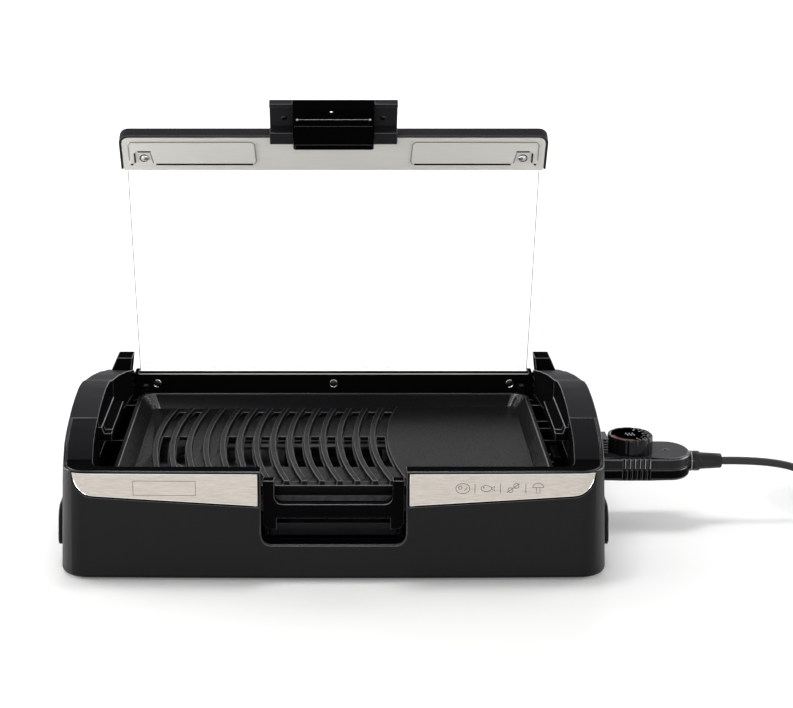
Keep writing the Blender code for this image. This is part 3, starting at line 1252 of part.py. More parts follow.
def build_insert():
    """The block in the middle of the handle, which drops into the notch of the tray's front."""
    top = GLASS_SHEET + FIT + LIDFRAME_SHEET - HANDLE_SHEET - FIT
    start, face = LIDFRAME_START + LIDFRAME_LENGTH + FIT + FIT, -LIDFRAME_LIP - FIT - FIT
    return prism_on_pane("handle_insert", [
        (start, top), (INSERT_END, top), (INSERT_END, -INSERT_DEPTH + INSERT_CHAMFER),
        (INSERT_END - INSERT_CHAMFER, -INSERT_DEPTH), (INSERT_START, -INSERT_DEPTH), (INSERT_START, face),
        (start, face),
    ], INSERT_HALF_WIDTH)


def build_hinge_rail():
    body = block(
        "hinge_rail", (-RAIL_HALF_LENGTH, -RAIL_HIGH_REACH, RAIL_FACE_RISE),
        (RAIL_HALF_LENGTH, -RAIL_LOW_REACH, GLASS_RISE - FIT),
    )
    bore = HINGE_PIN_RADIUS + FIT
    for side in (1, -1):
        start = side * (RAIL_HALF_LENGTH - HINGE_PIN_SEAT - FIT)
        cut(body, turned(
            "pin_seat", (start, 0, 0), "X", [(0, bore), (side * (HINGE_PIN_SEAT + OVERRUN), bore)], 16,
        ))
    cut(body, *(rail_screw_cutter(x) for x in (0, RAIL_SCREW_X, -RAIL_SCREW_X)))
    return body


def rail_screw_cutter(x):
    middle = (RAIL_LOW_REACH + RAIL_HIGH_REACH) / 2
    radius = SCREW_SHANK_RADIUS + FIT
    depth = SCREW_SHANK_LENGTH + FIT + OVERRUN
    return turned("screw_hole", (x, -middle, RAIL_FACE_RISE - OVERRUN), "Z", [(0, radius), (depth, radius)], 12)


def build_clamp_strip():
    low = GLASS_RISE + GLASS_SHEET + FIT
    return block(
        "clamp_strip", (-CLAMP_HALF_LENGTH, -CLAMP_HIGH_REACH, low),
        (CLAMP_HALF_LENGTH, -CLAMP_LOW_REACH, low + CLAMP_SHEET),
    )


def build_hinge_pin(name, side):
    start = side * (RAIL_HALF_LENGTH - HINGE_PIN_SEAT)
    length = side * (HINGE_PIN_END_X - RAIL_HALF_LENGTH + HINGE_PIN_SEAT)
    return turned(name, (start, 0, 0), "X", [(0, HINGE_PIN_RADIUS), (length, HINGE_PIN_RADIUS)], 16)


def screw_stations():
    return [
        (-FIT - SCREW_HEAD_HEIGHT, SCREW_HEAD_RADIUS * 0.7), (-FIT - SCREW_HEAD_HEIGHT / 2, SCREW_HEAD_RADIUS),
        (-FIT, SCREW_HEAD_RADIUS), (-FIT / 2, SCREW_SHANK_RADIUS), (SCREW_SHANK_LENGTH, SCREW_SHANK_RADIUS),
    ]


def build_rail_screw(name, x):
    middle = (RAIL_LOW_REACH + RAIL_HIGH_REACH) / 2
    return turned(name, (x, -middle, RAIL_FACE_RISE), "Z", screw_stations(), 12)


def tilted(obj, x, along, depth):
    """Stand an upright piece on the pane after the bend, and fix it there."""
    reach, rise = glass_point(after_bend(along), depth)
    turn = Matrix.Rotation(math.radians(GLASS_BEND_DEGREES), 4, "X")
    obj.data.transform(Matrix.Translation((x, -reach, rise)) @ turn)
    return obj


def build_band_screw(name, x):
    stations = [(along if along < 0 else BAND_SHEET, radius) for along, radius in screw_stations()]
    return tilted(turned(name, (0, 0, 0), "Z", stations, 12), x, BAND_START + BAND_SCREW_ALONG, -FIT - BAND_SHEET)


def band_screw_cutter(x):
    radius = SCREW_SHANK_RADIUS + FIT
    cutter = turned("band_hole", (0, 0, 0), "Z", [(-OVERRUN, radius), (OVERRUN, radius)], 12)
    return tilted(cutter, x, BAND_START + BAND_SCREW_ALONG, -FIT - BAND_SHEET)


def probe_outline(inset):
    half = PROBE_HALF_WIDTH - inset
    outline = [(PROBE_LEFT_X + inset, half), (PROBE_LEFT_X + inset, -half)]
    reach = PROBE_RIGHT_X - PROBE_ROUND_X - inset
    for i in range(PROBE_END_STEPS + 1):
        turn = math.pi * (i / PROBE_END_STEPS - 0.5)
        outline.append((PROBE_ROUND_X + reach * math.cos(turn), half * math.sin(turn)))
    return outline


def probe_layer(z, inset):
    return [(x, y, z) for x, y in probe_outline(inset)]


def groove_cutters(low, high):
    """Finger grooves down both long sides of the probe."""
    cutters = []
    for i in range(GROOVE_COUNT):
        x = GROOVE_FIRST_X + GROOVE_PITCH * i
        for side in (1, -1):
            inner, outer = sorted((side * (PROBE_HALF_WIDTH - GROOVE_DEPTH), side * (PROBE_HALF_WIDTH + OVERRUN)))
            cutters.append(block(
                "groove", (x - GROOVE_WIDTH / 2, inner, low), (x + GROOVE_WIDTH / 2, outer, high),
            ))
    return cutters


def cord_passage(radius):
    """The round way out of the probe for the strain relief's stem."""
    return turned(
        "cord_passage", (PROBE_RIGHT_X - PROBE_SHELL - OVERRUN, 0, PROBE_AXIS_Z), "X",
        [(0, radius), (PROBE_SHELL + OVERRUN + OVERRUN, radius)], 16,
    )


def nose_passage():
    grow = FIT
    return block(
        "nose_passage", (PROBE_LEFT_X - OVERRUN, -nose_half() - grow, nose_bottom() - grow),
        (PROBE_LEFT_X + PROBE_SHELL + FIT, nose_half() + grow, nose_top() + grow),
    )


def nose_half():
    return SOCKET_HALF_WIDTH - NOSE_CLEARANCE


def nose_bottom():
    return SOCKET_BOTTOM + NOSE_CLEARANCE


def nose_top():
    return SOCKET_TOP - NOSE_CLEARANCE


def build_lower_shell():
    body = loft("probe_lower_shell", [
        probe_layer(PROBE_BOTTOM, PROBE_EDGE), probe_layer(PROBE_BOTTOM + PROBE_EDGE, 0), probe_layer(PROBE_SEAM, 0),
    ])
    cut(body, loft("lower_room", [
        probe_layer(PROBE_BOTTOM + PROBE_SHELL, PROBE_SHELL), probe_layer(PROBE_SEAM + OVERRUN, PROBE_SHELL),
    ]))
    cut(body, *groove_cutters(PROBE_BOTTOM - OVERRUN, PROBE_SEAM + OVERRUN))
    return cut(body, cord_passage(RELIEF_TIP_RADIUS + FIT), nose_passage())


def build_upper_shell():
    body = loft("probe_upper_shell", [
        probe_layer(PROBE_SEAM + FIT, 0), probe_layer(PROBE_TOP - PROBE_EDGE, 0), probe_layer(PROBE_TOP, PROBE_EDGE),
    ])
    cut(body, loft("upper_room", [
        probe_layer(PROBE_SEAM - OVERRUN, PROBE_SHELL), probe_layer(PROBE_TOP - PROBE_SHELL, PROBE_SHELL),
    ]))
    cut(body, *groove_cutters(PROBE_SEAM - OVERRUN, PROBE_TOP + OVERRUN))
    cut(body, cord_passage(RELIEF_TIP_RADIUS + FIT), nose_passage())
    bore = KNOB_SHAFT_RADIUS + RUNNING_FIT
    top_hole = [(0, bore), (PROBE_SHELL + OVERRUN + OVERRUN, bore)]
    cut(body, turned("shaft_hole", (KNOB_X, 0, PROBE_TOP - PROBE_SHELL - OVERRUN), "Z", top_hole, 16))
    lamp_hole = [(0, LAMP_RADIUS + FIT), (PROBE_SHELL + OVERRUN + OVERRUN, LAMP_RADIUS + FIT)]
    cut(body, turned("lamp_hole", (LAMP_X, 0, PROBE_TOP - PROBE_SHELL - OVERRUN), "Z", lamp_hole, 12))
    return body


def build_nose():
    """The plug end of the probe, with a socket for each contact pin and the rod's seat."""
    body = block(
        "probe_nose", (NOSE_INNER_X, -nose_half(), nose_bottom()),
        (PROBE_LEFT_X + PROBE_SHELL, nose_half(), nose_top()),
    )
    for y in (TERMINAL_Y, -TERMINAL_Y):
        cut(body, turned(
            "contact_socket", (NOSE_INNER_X - OVERRUN, y, ELEMENT_HEIGHT), "X",
            [(0, NOSE_BORE_RADIUS), (CONTACT_END_X - NOSE_INNER_X + OVERRUN + CONTACT_RADIUS, NOSE_BORE_RADIUS)], 12,
        ))
    seat = PROBE_ROD_RADIUS + FIT
    return cut(body, turned(
        "rod_seat", (NOSE_INNER_X - OVERRUN, 0, PROBE_AXIS_Z), "X",
        [(0, seat), (PROBE_ROD_SEAT_X - NOSE_INNER_X + OVERRUN + FIT, seat)], 12,
    ))


def build_rod():
    length = PROBE_ROD_SEAT_X - PROBE_ROD_END_X
    return turned("sensing_rod", (PROBE_ROD_END_X, 0, PROBE_AXIS_Z), "X", [
        (0, PROBE_ROD_RADIUS / 2), (PROBE_ROD_RADIUS, PROBE_ROD_RADIUS), (length, PROBE_ROD_RADIUS),
    ], 12)


def build_switch():
    floor = PROBE_BOTTOM + PROBE_SHELL + FIT
    half = SWITCH_LENGTH / 2
    return block(
        "thermostat_switch", (KNOB_X - half, -SWITCH_HALF_WIDTH, floor),
        (KNOB_X + half, SWITCH_HALF_WIDTH, floor + SWITCH_HEIGHT),
    )


def build_lamp():
    return turned("signal_lamp", (LAMP_X, 0, PROBE_TOP - PROBE_SHELL), "Z", [
        (0, LAMP_RADIUS), (LAMP_HEIGHT - LAMP_RADIUS / 2, LAMP_RADIUS), (LAMP_HEIGHT - LAMP_RADIUS / 4, LAMP_RADIUS / 2),
    ], 12)


def build_knob():
    low = PROBE_TOP + FIT
    body = turned("control_knob", (KNOB_X, 0, low), "Z", [
        (0, KNOB_RADIUS), (KNOB_HEIGHT - PROBE_EDGE, KNOB_RADIUS), (KNOB_HEIGHT, KNOB_RADIUS - PROBE_EDGE),
    ], 36)
    ring = KNOB_RADIUS + KNOB_FLUTE_RADIUS - KNOB_FLUTE_DEPTH
    flutes = []
    for i in range(KNOB_FLUTES):
        turn = 2 * math.pi * i / KNOB_FLUTES
        at = (KNOB_X + ring * math.cos(turn), ring * math.sin(turn), low - OVERRUN)
        flutes.append(turned(
            "flute", at, "Z", [(0, KNOB_FLUTE_RADIUS), (KNOB_HEIGHT + OVERRUN + OVERRUN, KNOB_FLUTE_RADIUS)], 10,
        ))
    cut(body, *flutes)
    seat = KNOB_SHAFT_RADIUS + FIT
    return cut(body, turned("shaft_seat", (KNOB_X, 0, low - OVERRUN), "Z", [
        (0, seat), (OVERRUN + KNOB_SHAFT_BITE + FIT, seat)], 16))


def build_knob_shaft():
    high = PROBE_TOP + FIT + KNOB_SHAFT_BITE
    return turned("knob_shaft", (KNOB_X, 0, KNOB_SHAFT_BOTTOM), "Z", [
        (0, KNOB_SHAFT_RADIUS), (high - KNOB_SHAFT_BOTTOM, KNOB_SHAFT_RADIUS)], 16)


def build_relief():
    """Strain relief: a stem inside the shells, a collar against them and a tapered sleeve."""
    start = PROBE_RIGHT_X + FIT
    stem = PROBE_SHELL + SKIN
    body = turned("strain_relief", (start, 0, PROBE_AXIS_Z), "X", [
        (-stem, RELIEF_TIP_RADIUS), (0, RELIEF_TIP_RADIUS), (FIT / 2, RELIEF_COLLAR_RADIUS),
        (RELIEF_COLLAR_LENGTH, RELIEF_COLLAR_RADIUS), (RELIEF_COLLAR_LENGTH + FIT, RELIEF_ROOT_RADIUS),
        (RELIEF_LENGTH - FIT, RELIEF_TIP_RADIUS),
    ], 20)
    return body


def smooth_route(points, step):
    """Points read at even steps from a smooth curve through the route."""
    ends = [points[0] + (points[0] - points[1]), *points, points[-1] + (points[-1] - points[-2])]
    fine = []
    pieces = 8
    for i in range(1, len(ends) - 2):
        p0, p1, p2, p3 = ends[i - 1:i + 3]
        for k in range(pieces):
            t = k / pieces
            fine.append(0.5 * (
                2 * p1 + (p2 - p0) * t + (2 * p0 - 5 * p1 + 4 * p2 - p3) * t ** 2
                + (3 * p1 - p0 - 3 * p2 + p3) * t ** 3
            ))
    fine.append(points[-1])
    total = sum((b - a).length for a, b in zip(fine, fine[1:]))
    count = round(total / step)
    even, walked, target = [fine[0]], 0.0, total / count
    for a, b in zip(fine, fine[1:]):
        length = (b - a).length
        while walked + length >= target and len(even) < count:
            even.append(a.lerp(b, (target - walked) / length))
            target += total / count
        walked += length
    return [*even, fine[-1]], total


def coil_points():
    """The coil: in along the table, up a layer, out again, then off to the plug."""
    layer, climb, tail = COIL_LAYER_TURNS, COIL_CLIMB_TURNS, COIL_TAIL_TURNS
    low = TIE_SHEET + FIT + CORD_RADIUS
    total = layer + climb + layer + tail
    count = round(total * COIL_POINTS_PER_TURN)
    inner = COIL_OUTER_RADIUS - COIL_PITCH * layer
    points = []
    for i in range(count + 1):
        t = total * i / count
        if t <= layer:
            radius, z = COIL_OUTER_RADIUS - COIL_PITCH * t, low
        elif t <= layer + climb:
            u = t - layer
            radius = inner - COIL_PITCH * u + COIL_PITCH * u * u / climb
            z = low + COIL_LAYER_RISE * eased(u / climb)
        elif t <= layer + climb + layer:
            radius, z = inner + COIL_PITCH * (t - layer - climb), low + COIL_LAYER_RISE
        else:
            u = (t - layer - climb - layer) / tail
            radius = COIL_OUTER_RADIUS + COIL_TAIL_OUT * eased(u)
            drop = low + COIL_LAYER_RISE - PLUG_AXIS_HEIGHT
            z = low + COIL_LAYER_RISE - drop * eased((u - 0.3) / 0.7)
        turn = 2 * math.pi * (COIL_START_TURNS + t)
        points.append(Vector((
            COIL_CENTRE_X + radius * math.cos(turn), COIL_CENTRE_Y + radius * math.sin(turn), z,
        )))
    return points


def least_self_gap(points, radius):
    """Clear distance between stretches of a tube that are more than a few diameters apart along it."""
    skip = round(COIL_POINTS_PER_TURN / 3)
    least = min(
        (a - b).length for i, a in enumerate(points) for b in points[i + skip:]
    )
    return least - 2 * radius


def build_cord():
    coil = coil_points()
    first = coil[0] - Vector((CORD_RADIUS * 2, 0, 0))
    end = coil[-1] + Vector((0, CORD_RADIUS * 2, 0))
    coil = [first, *coil, end]
    print("coil: least gap to itself %.2f mm" % (least_self_gap(coil[1:-1], CORD_RADIUS) * 1000))
    landing = first - Vector((FIT + CORD_RADIUS * 2, 0, 0))
    run, run_length = smooth_route([*map(Vector, CORD_ROUTE), landing], CORD_RUN_STEP)
    run.append(first - Vector((FIT, 0, 0)))
    coil_length = sum((b - a).length for a, b in zip(coil, coil[1:]))
    print("cord: run %.3f m, coil %.3f m, total %.3f m" % (run_length, coil_length, run_length + coil_length))
    return tube("cord_run", run, CORD_RADIUS, 2), tube("cord_coil", coil, CORD_RADIUS, 1), end


def build_tie():
    """A strap round the coil's bundle."""
    inner = COIL_OUTER_RADIUS - COIL_PITCH * COIL_LAYER_TURNS - CORD_RADIUS - TIE_SLACK - TIE_SLACK
    outer = COIL_OUTER_RADIUS + CORD_RADIUS + TIE_SLACK
    high = TIE_SHEET + FIT + COIL_LAYER_RISE + CORD_RADIUS * 2 + TIE_SLACK
    turn = Matrix.Rotation(math.radians(TIE_ANGLE_DEGREES), 4, "Z")
    place = Matrix.Translation((COIL_CENTRE_X, COIL_CENTRE_Y, 0)) @ turn

    def section(growth):
        return rounded_rectangle(
            (inner - growth, TIE_SHEET - growth), (outer + growth, high + growth), TIE_SLACK + growth, 3,
        )

    loops = []
    for growth, along in ((0, -1), (TIE_SHEET, -1), (TIE_SHEET, 1), (0, 1)):
        loops.append([place @ Vector((x, along * TIE_WIDTH / 2, z)) for x, z in section(growth)])
    return ring_loft("cord_tie", loops)


def build_plug(end):
    """A moulded mains plug that lies on its flat side."""
    collar_start = end.y + FIT
    body_start = collar_start + PLUG_COLLAR_LENGTH
    z = PLUG_AXIS_HEIGHT

    def section(y, half_width, half_height):
        outline = rounded_rectangle((-half_width, -half_height), (half_width, half_height), half_height * 0.9, 4)
        return [(end.x + x, y, z + dz) for x, dz in outline]

    slim = PLUG_COLLAR_RADIUS
    body = loft("mains_plug", [
        section(collar_start, slim - TIE_SLACK, slim - TIE_SLACK), section(body_start, slim, slim),
        section(body_start + PLUG_LENGTH / 3, PLUG_HALF_WIDTH, PLUG_HALF_HEIGHT),
        section(body_start + PLUG_LENGTH, PLUG_HALF_WIDTH, PLUG_HALF_HEIGHT),
    ])
    pins = []
    for name, side in (("plug_pin_left", -1), ("plug_pin_right", 1)):
        x = end.x + side * PLUG_PIN_SPACING / 2
        face = body_start + PLUG_LENGTH
        bite = PLUG_PIN_BITE
        cut(body, turned("pin_hole", (x, face - bite - FIT, z), "Y", [
            (0, PLUG_PIN_RADIUS + FIT), (bite + OVERRUN, PLUG_PIN_RADIUS + FIT)], 12))
        pins.append(turned(name, (x, face - bite, z), "Y", [
            (0, PLUG_PIN_RADIUS), (bite + PLUG_PIN_LENGTH - PLUG_PIN_RADIUS, PLUG_PIN_RADIUS),
            (bite + PLUG_PIN_LENGTH, PLUG_PIN_RADIUS / 2),
        ], 12))
    return body, pins


def rig(name, place, pieces, material_of):
    """Hang finished pieces on an empty that stands on their joint."""
    empty = bpy.data.objects.new(name, None)
    empty.location = place
    bpy.context.scene.collection.objects.link(empty)
    for piece, material in pieces:
        piece.parent = empty
        if material_of is None:
            piece.matrix_parent_inverse = Matrix.Translation(-Vector(place))
        dress(piece, material)
    return empty


def dress(piece, material):
    piece.data.materials.clear()
    piece.data.materials.append(material)
    if piece.type == "MESH":
        piece.data.shade_smooth()
        piece.data.set_sharp_from_angle(angle=math.radians(30))


def main():
    clear_scene()
    black = make_material("black_abs", (0.012, 0.012, 0.013), 0.42)
    gloss_black = make_material("gloss_black_abs", (0.006, 0.006, 0.006), 0.15)
    dark = make_material("bakelite", (0.010, 0.010, 0.010), 0.5)
    brushed = make_material("brushed_stainless", (0.62, 0.59, 0.55), 0.32, 1.0)
    satin = make_material("satin_stainless", (0.60, 0.58, 0.55), 0.38, 1.0)
    enamel = make_material("black_enamel", (0.014, 0.014, 0.015), 0.35)
    coated = make_material("nonstick_cast_aluminium", (0.030, 0.030, 0.031), 0.5)
    aluminised = make_material("aluminised_steel", (0.45, 0.45, 0.46), 0.45, 1.0)
    incoloy = make_material("element_sheath", (0.20, 0.21, 0.20), 0.5, 1.0)
    ceramic = make_material("ceramic", (0.75, 0.72, 0.66), 0.5)
    steel = make_material("plated_steel", (0.55, 0.55, 0.56), 0.3, 1.0)
    glass = make_material("tempered_glass", (0.85, 0.90, 0.88), 0.05)
    rubber = make_material("rubber", (0.015, 0.015, 0.015), 0.8)
    vinyl = make_material("cord_vinyl", (0.012, 0.012, 0.012), 0.55)
    brass = make_material("plated_brass", (0.60, 0.50, 0.28), 0.3, 1.0)
    amber = make_material("lamp_lens", (0.45, 0.12, 0.02), 0.2)

    fixed = [
        (build_housing(), black), (build_top_frame(), black), (build_socket_frame(), dark),
        (build_bottom_cover(), dark), (build_pan(), aluminised), (build_terminal_block(), ceramic),
        (build_contact("contact_front", -TERMINAL_Y), steel), (build_contact("contact_rear", TERMINAL_Y), steel),
        (build_clip("element_clip_left", -CLIP_X), steel), (build_clip("element_clip_right", CLIP_X), steel),
        (tube("heating_element", element_path(), ELEMENT_RADIUS, 2), incoloy),
    ]
    for right, material in ((build_side_cap(), black), (build_hinge_cover(), black), (build_trim(), brushed),
                            (build_side_grip(), dark)):
        fixed += [(right, material), (mirrored(right, right.name.replace("right", "left")), material)]
        if right.name == "side_grip_right":
            cut(right, block(
                "probe_relief", (REAR_GATE_HALF_WIDTH, -PROBE_HALF_WIDTH - GRIP_RIM / 2, SOCKET_BOTTOM - GRIP_RIM),
                (BASE_HALF_WIDTH + BASE_HALF_WIDTH, PROBE_HALF_WIDTH + GRIP_RIM / 2, GRIP_TOP + OVERRUN),
            ))
    for x, side in ((-FOOT_X, "left"), (FOOT_X, "right")):
        for y, end in ((-FOOT_Y, "front"), (FOOT_Y, "rear")):
            fixed.append((build_foot("foot_%s_%s" % (end, side), x, y), rubber))
    rig("base", (0, 0, 0), fixed, None)

    rig("plate_lift", (0, 0, PLATE_UNDERSIDE), [(build_plate(), coated)], None)
    rig("tray_slide", (0, TRAY_FRONT_FACE_Y, TRAY_BOTTOM), [
        (build_tray(), enamel), (build_tray_front(), black)], None)

    lid = rig("lid_hinge", (0, HINGE_Y, HINGE_Z), [
        (build_glass(), glass), (build_band(), satin), (build_lidframe(), black), (build_handle(), black),
        (build_insert(), dark), (build_hinge_rail(), black), (build_clamp_strip(), black),
        (build_hinge_pin("hinge_pin_left", -1), steel), (build_hinge_pin("hinge_pin_right", 1), steel),
        (build_rail_screw("rail_screw_left", -RAIL_SCREW_X), steel), (build_rail_screw("rail_screw_middle", 0), steel),
        (build_rail_screw("rail_screw_right", RAIL_SCREW_X), steel),
        (build_band_screw("band_screw_left", -BAND_SCREW_X), steel),
        (build_band_screw("band_screw_right", BAND_SCREW_X), steel),
    ], True)
    lid.rotation_euler.x = -math.radians(90 + LID_LEAN_DEGREES)

    run, coil, end = build_cord()
    plug, pins = build_plug(end)
    probe = rig("probe_plug_in", (PROBE_LEFT_X, 0, PROBE_AXIS_Z), [
        (build_upper_shell(), gloss_black), (build_lower_shell(), gloss_black), (build_nose(), dark),
        (build_rod(), steel), (build_switch(), dark), (build_lamp(), amber), (build_relief(), vinyl), (run, vinyl),
        (coil, vinyl), (build_tie(), rubber), (plug, vinyl), *((pin, brass) for pin in pins),
    ], None)
    knob = rig("knob_turn", (KNOB_X, 0, PROBE_TOP), [
        (build_knob(), gloss_black), (build_knob_shaft(), steel)], None)
    knob.parent = probe
    knob.matrix_parent_inverse = Matrix.Translation(-probe.location)


main()
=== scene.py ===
import json
import math

import bmesh
import bpy
from mathutils import Matrix, Vector


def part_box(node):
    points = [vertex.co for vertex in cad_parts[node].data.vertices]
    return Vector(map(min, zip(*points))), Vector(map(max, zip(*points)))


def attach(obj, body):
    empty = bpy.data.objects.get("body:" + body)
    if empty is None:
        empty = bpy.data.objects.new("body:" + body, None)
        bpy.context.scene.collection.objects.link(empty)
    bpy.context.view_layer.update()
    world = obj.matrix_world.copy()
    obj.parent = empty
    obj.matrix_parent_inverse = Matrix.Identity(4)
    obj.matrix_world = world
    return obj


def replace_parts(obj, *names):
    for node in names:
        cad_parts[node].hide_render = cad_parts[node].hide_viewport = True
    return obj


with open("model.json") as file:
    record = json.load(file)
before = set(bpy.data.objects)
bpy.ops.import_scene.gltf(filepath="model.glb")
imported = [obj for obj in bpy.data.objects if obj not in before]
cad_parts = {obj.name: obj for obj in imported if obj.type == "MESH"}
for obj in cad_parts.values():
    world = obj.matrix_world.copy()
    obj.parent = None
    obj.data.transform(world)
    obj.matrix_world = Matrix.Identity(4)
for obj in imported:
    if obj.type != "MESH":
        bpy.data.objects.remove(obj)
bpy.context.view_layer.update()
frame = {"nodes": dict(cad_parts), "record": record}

nodes = frame["nodes"]
bodyOf = {node: body for body, members in frame["record"]["behaviour"]["bodies"].items() for node in members}
slotOf = {part["node"]: part["material_slot"] for part in frame["record"]["subparts"]}
mm = 0.001
sides = ((-1, "Left"), (1, "Right"))  # seen from the front
print("frame loaded:", len(nodes), "nodes")


# ---- the photograph's view ----

viewSettings = {
    "imageWidth": 793, "focalPixels": 1800, "sensorWidth": 36,
    "location": (0, -1.5958, 0.613), "tilt": 74.21, "shiftX": 0.0794,
}
cameraData = bpy.data.cameras.new("camera")
cameraData.sensor_width = viewSettings["sensorWidth"]
cameraData.lens = viewSettings["focalPixels"] * viewSettings["sensorWidth"] / viewSettings["imageWidth"]
cameraData.shift_x = viewSettings["shiftX"]
cameraData.clip_end = 40
camera = bpy.data.objects.new("camera", cameraData)
camera.location = viewSettings["location"]
camera.rotation_euler = (math.radians(viewSettings["tilt"]), 0, 0)
bpy.context.scene.collection.objects.link(camera)
bpy.context.scene.camera = camera


# ---- colours and nodes ----

def hexColour(code):  # sRGB hex to the linear colour that the shaders use
    parts = [int(code[i:i + 2], 16) / 255 for i in (1, 3, 5)]
    return (*[p / 12.92 if p <= 0.04045 else ((p + 0.055) / 1.055) ** 2.4 for p in parts], 1)


def addNode(tree, kind, inputs=None, **settings):  # adds a node, sets it, and links or fills its inputs
    node = tree.nodes.new(kind)
    for name, value in settings.items():
        setattr(node, name, value)
    for key, value in (inputs or {}).items():
        if isinstance(value, bpy.types.NodeSocket):
            tree.links.new(value, node.inputs[key])
        else:
            node.inputs[key].default_value = value
    return node


def startMaterial(name, values):  # a material with its shader set, ready for the pattern nodes
    material = bpy.data.materials.new(name)
    material.use_nodes = True
    tree = material.node_tree
    shader = tree.nodes["Principled BSDF"]
    for key, value in values.items():
        shader.inputs[key].default_value = value
    place = addNode(tree, "ShaderNodeTexCoord").outputs["Object"]
    return material, tree, shader, place


# colours: what mixes the two colours, and the two. gloss: what varies the roughness, its low and high value, and the
# roughness at each. height: what lifts the surface, by bump's strength and depth
def finishMaterial(tree, shader, colours=None, gloss=None, height=None, bump=0.2, depth=0.0001):
    if colours:
        mixed = addNode(tree, "ShaderNodeMix", dict(zip(("Factor", 6, 7), colours)), data_type="RGBA")
        tree.links.new(mixed.outputs[2], shader.inputs["Base Color"])
    if gloss:
        limits = dict(zip(("Value", "From Min", "From Max", "To Min", "To Max"), gloss))
        tree.links.new(addNode(tree, "ShaderNodeMapRange", limits).outputs[0], shader.inputs["Roughness"])
    if height:
        normal = addNode(tree, "ShaderNodeBump", {"Strength": bump, "Distance": depth, "Height": height})
        tree.links.new(normal.outputs["Normal"], shader.inputs["Normal"])


# Most finishes: the tone noise mixes the two colours, and the skin noise sets the gloss and lifts the surface. The tone
# noise does it all where there is no skin noise, and lifts the surface where it is rippled
def skinMaterial(name, ior, shine, dark, light, tone, skin, gloss, bump=(0, 0), rippled=False):
    material, tree, shader, place = startMaterial(name, {"IOR": ior, "Specular IOR Level": shine})
    toneNoise = addNode(tree, "ShaderNodeTexNoise", {"Vector": place, **tone}).outputs["Fac"]
    skinNoise = addNode(tree, "ShaderNodeTexNoise", {"Vector": place, **skin}).outputs["Fac"] if skin else toneNoise
    height = (toneNoise if rippled else skinNoise) if bump[0] else None
    finishMaterial(tree, shader, (toneNoise, dark, light), (skinNoise, *gloss), height, *bump)
    return material


# ABS, injection moulded in a spark-eroded mould: a fine even matt grain that takes the shine off flat faces
def mouldedAbs(name, dark, light, rough, grainSize, shine):
    return skinMaterial(name, 1.53, shine, hexColour(dark), hexColour(light),
                        {"Scale": 22, "Detail": 2}, {"Scale": 1 / grainSize, "Detail": 4, "Roughness": 0.6},
                        (0.3, 0.7, rough - 0.05, rough + 0.06), (0.22, 0.0001))


# ABS from a polished mould: near mirror gloss with a faint flow ripple about 15 mm long
def polishedAbs(name, base, rough, shine):
    return skinMaterial(name, 1.53, shine, hexColour(base), hexColour("#1a1a1b"),
                        {"Scale": 65, "Detail": 1}, {"Scale": 600, "Detail": 3},
                        (0.35, 0.75, rough, rough + 0.09), (0.05, 0.0004), True)


# Phenolic resin, pressed: dense black, satin, with a fine pepper of filler
def pressedPhenolic(name, dark, light, shine):
    return skinMaterial(name, 1.6, shine, hexColour(dark), hexColour(light),
                        {"Scale": 900, "Detail": 5, "Roughness": 0.7}, None, (0.3, 0.7, 0.28, 0.4), (0.1, 0.00008))


# Soft mouldings: rubber feet, vinyl lead and plug, silicone tie; matt with a fine skin
def softMoulding(name, dark, light, rough, skinSize, bump):
    return skinMaterial(name, 1.5, 0.35, hexColour(dark), hexColour(light),
                        {"Scale": 1 / skinSize, "Detail": 4, "Roughness": 0.6}, None,
                        (0.3, 0.7, rough, rough + 0.12), (bump, 0.0001))


# Printing ink, pad printed: flat colour, thinner where the pad lifted
def padInk(name, code):
    solid = hexColour(code)
    thin = (*[part * 0.8 for part in solid[:3]], 1)
    return skinMaterial(name, 1.5, 0.1, thin, solid, {"Scale": 1500, "Detail": 2}, None, (0, 1, 0.35, 0.5))


# Stainless steel, belt brushed along X: hair lines 0.4 mm apart and 25 mm long, over softer strokes of the given size
def brushedStainless(name, dark, light, rough, metal, stroke, contrast):
    material, tree, shader, place = startMaterial(name, {
        "Metallic": metal, "Anisotropic": 0.4, "Specular IOR Level": 0.3})
    marks = []
    for scale, crispness in (((40, 2600, 2600), 0.6), ((1 / stroke[0], 1 / stroke[1], 1 / stroke[1]), 0.65)):
        along = addNode(tree, "ShaderNodeMapping", {"Vector": place, "Scale": scale}).outputs[0]
        marks.append(addNode(tree, "ShaderNodeTexNoise", {
            "Vector": along, "Scale": 1, "Detail": 3, "Roughness": crispness}).outputs["Fac"])
    both = addNode(tree, "ShaderNodeMath", {0: marks[0], 1: marks[1]}, operation="ADD")
    share = addNode(tree, "ShaderNodeMapRange", {
        "Value": both.outputs[0], "From Min": 1 - contrast, "From Max": 1 + contrast})
    finishMaterial(tree, shader, (share.outputs[0], hexColour(dark), hexColour(light)),
                   (marks[0], 0.3, 0.7, rough - 0.05, rough + 0.08), marks[0], 0.06, 0.00003)
    return material


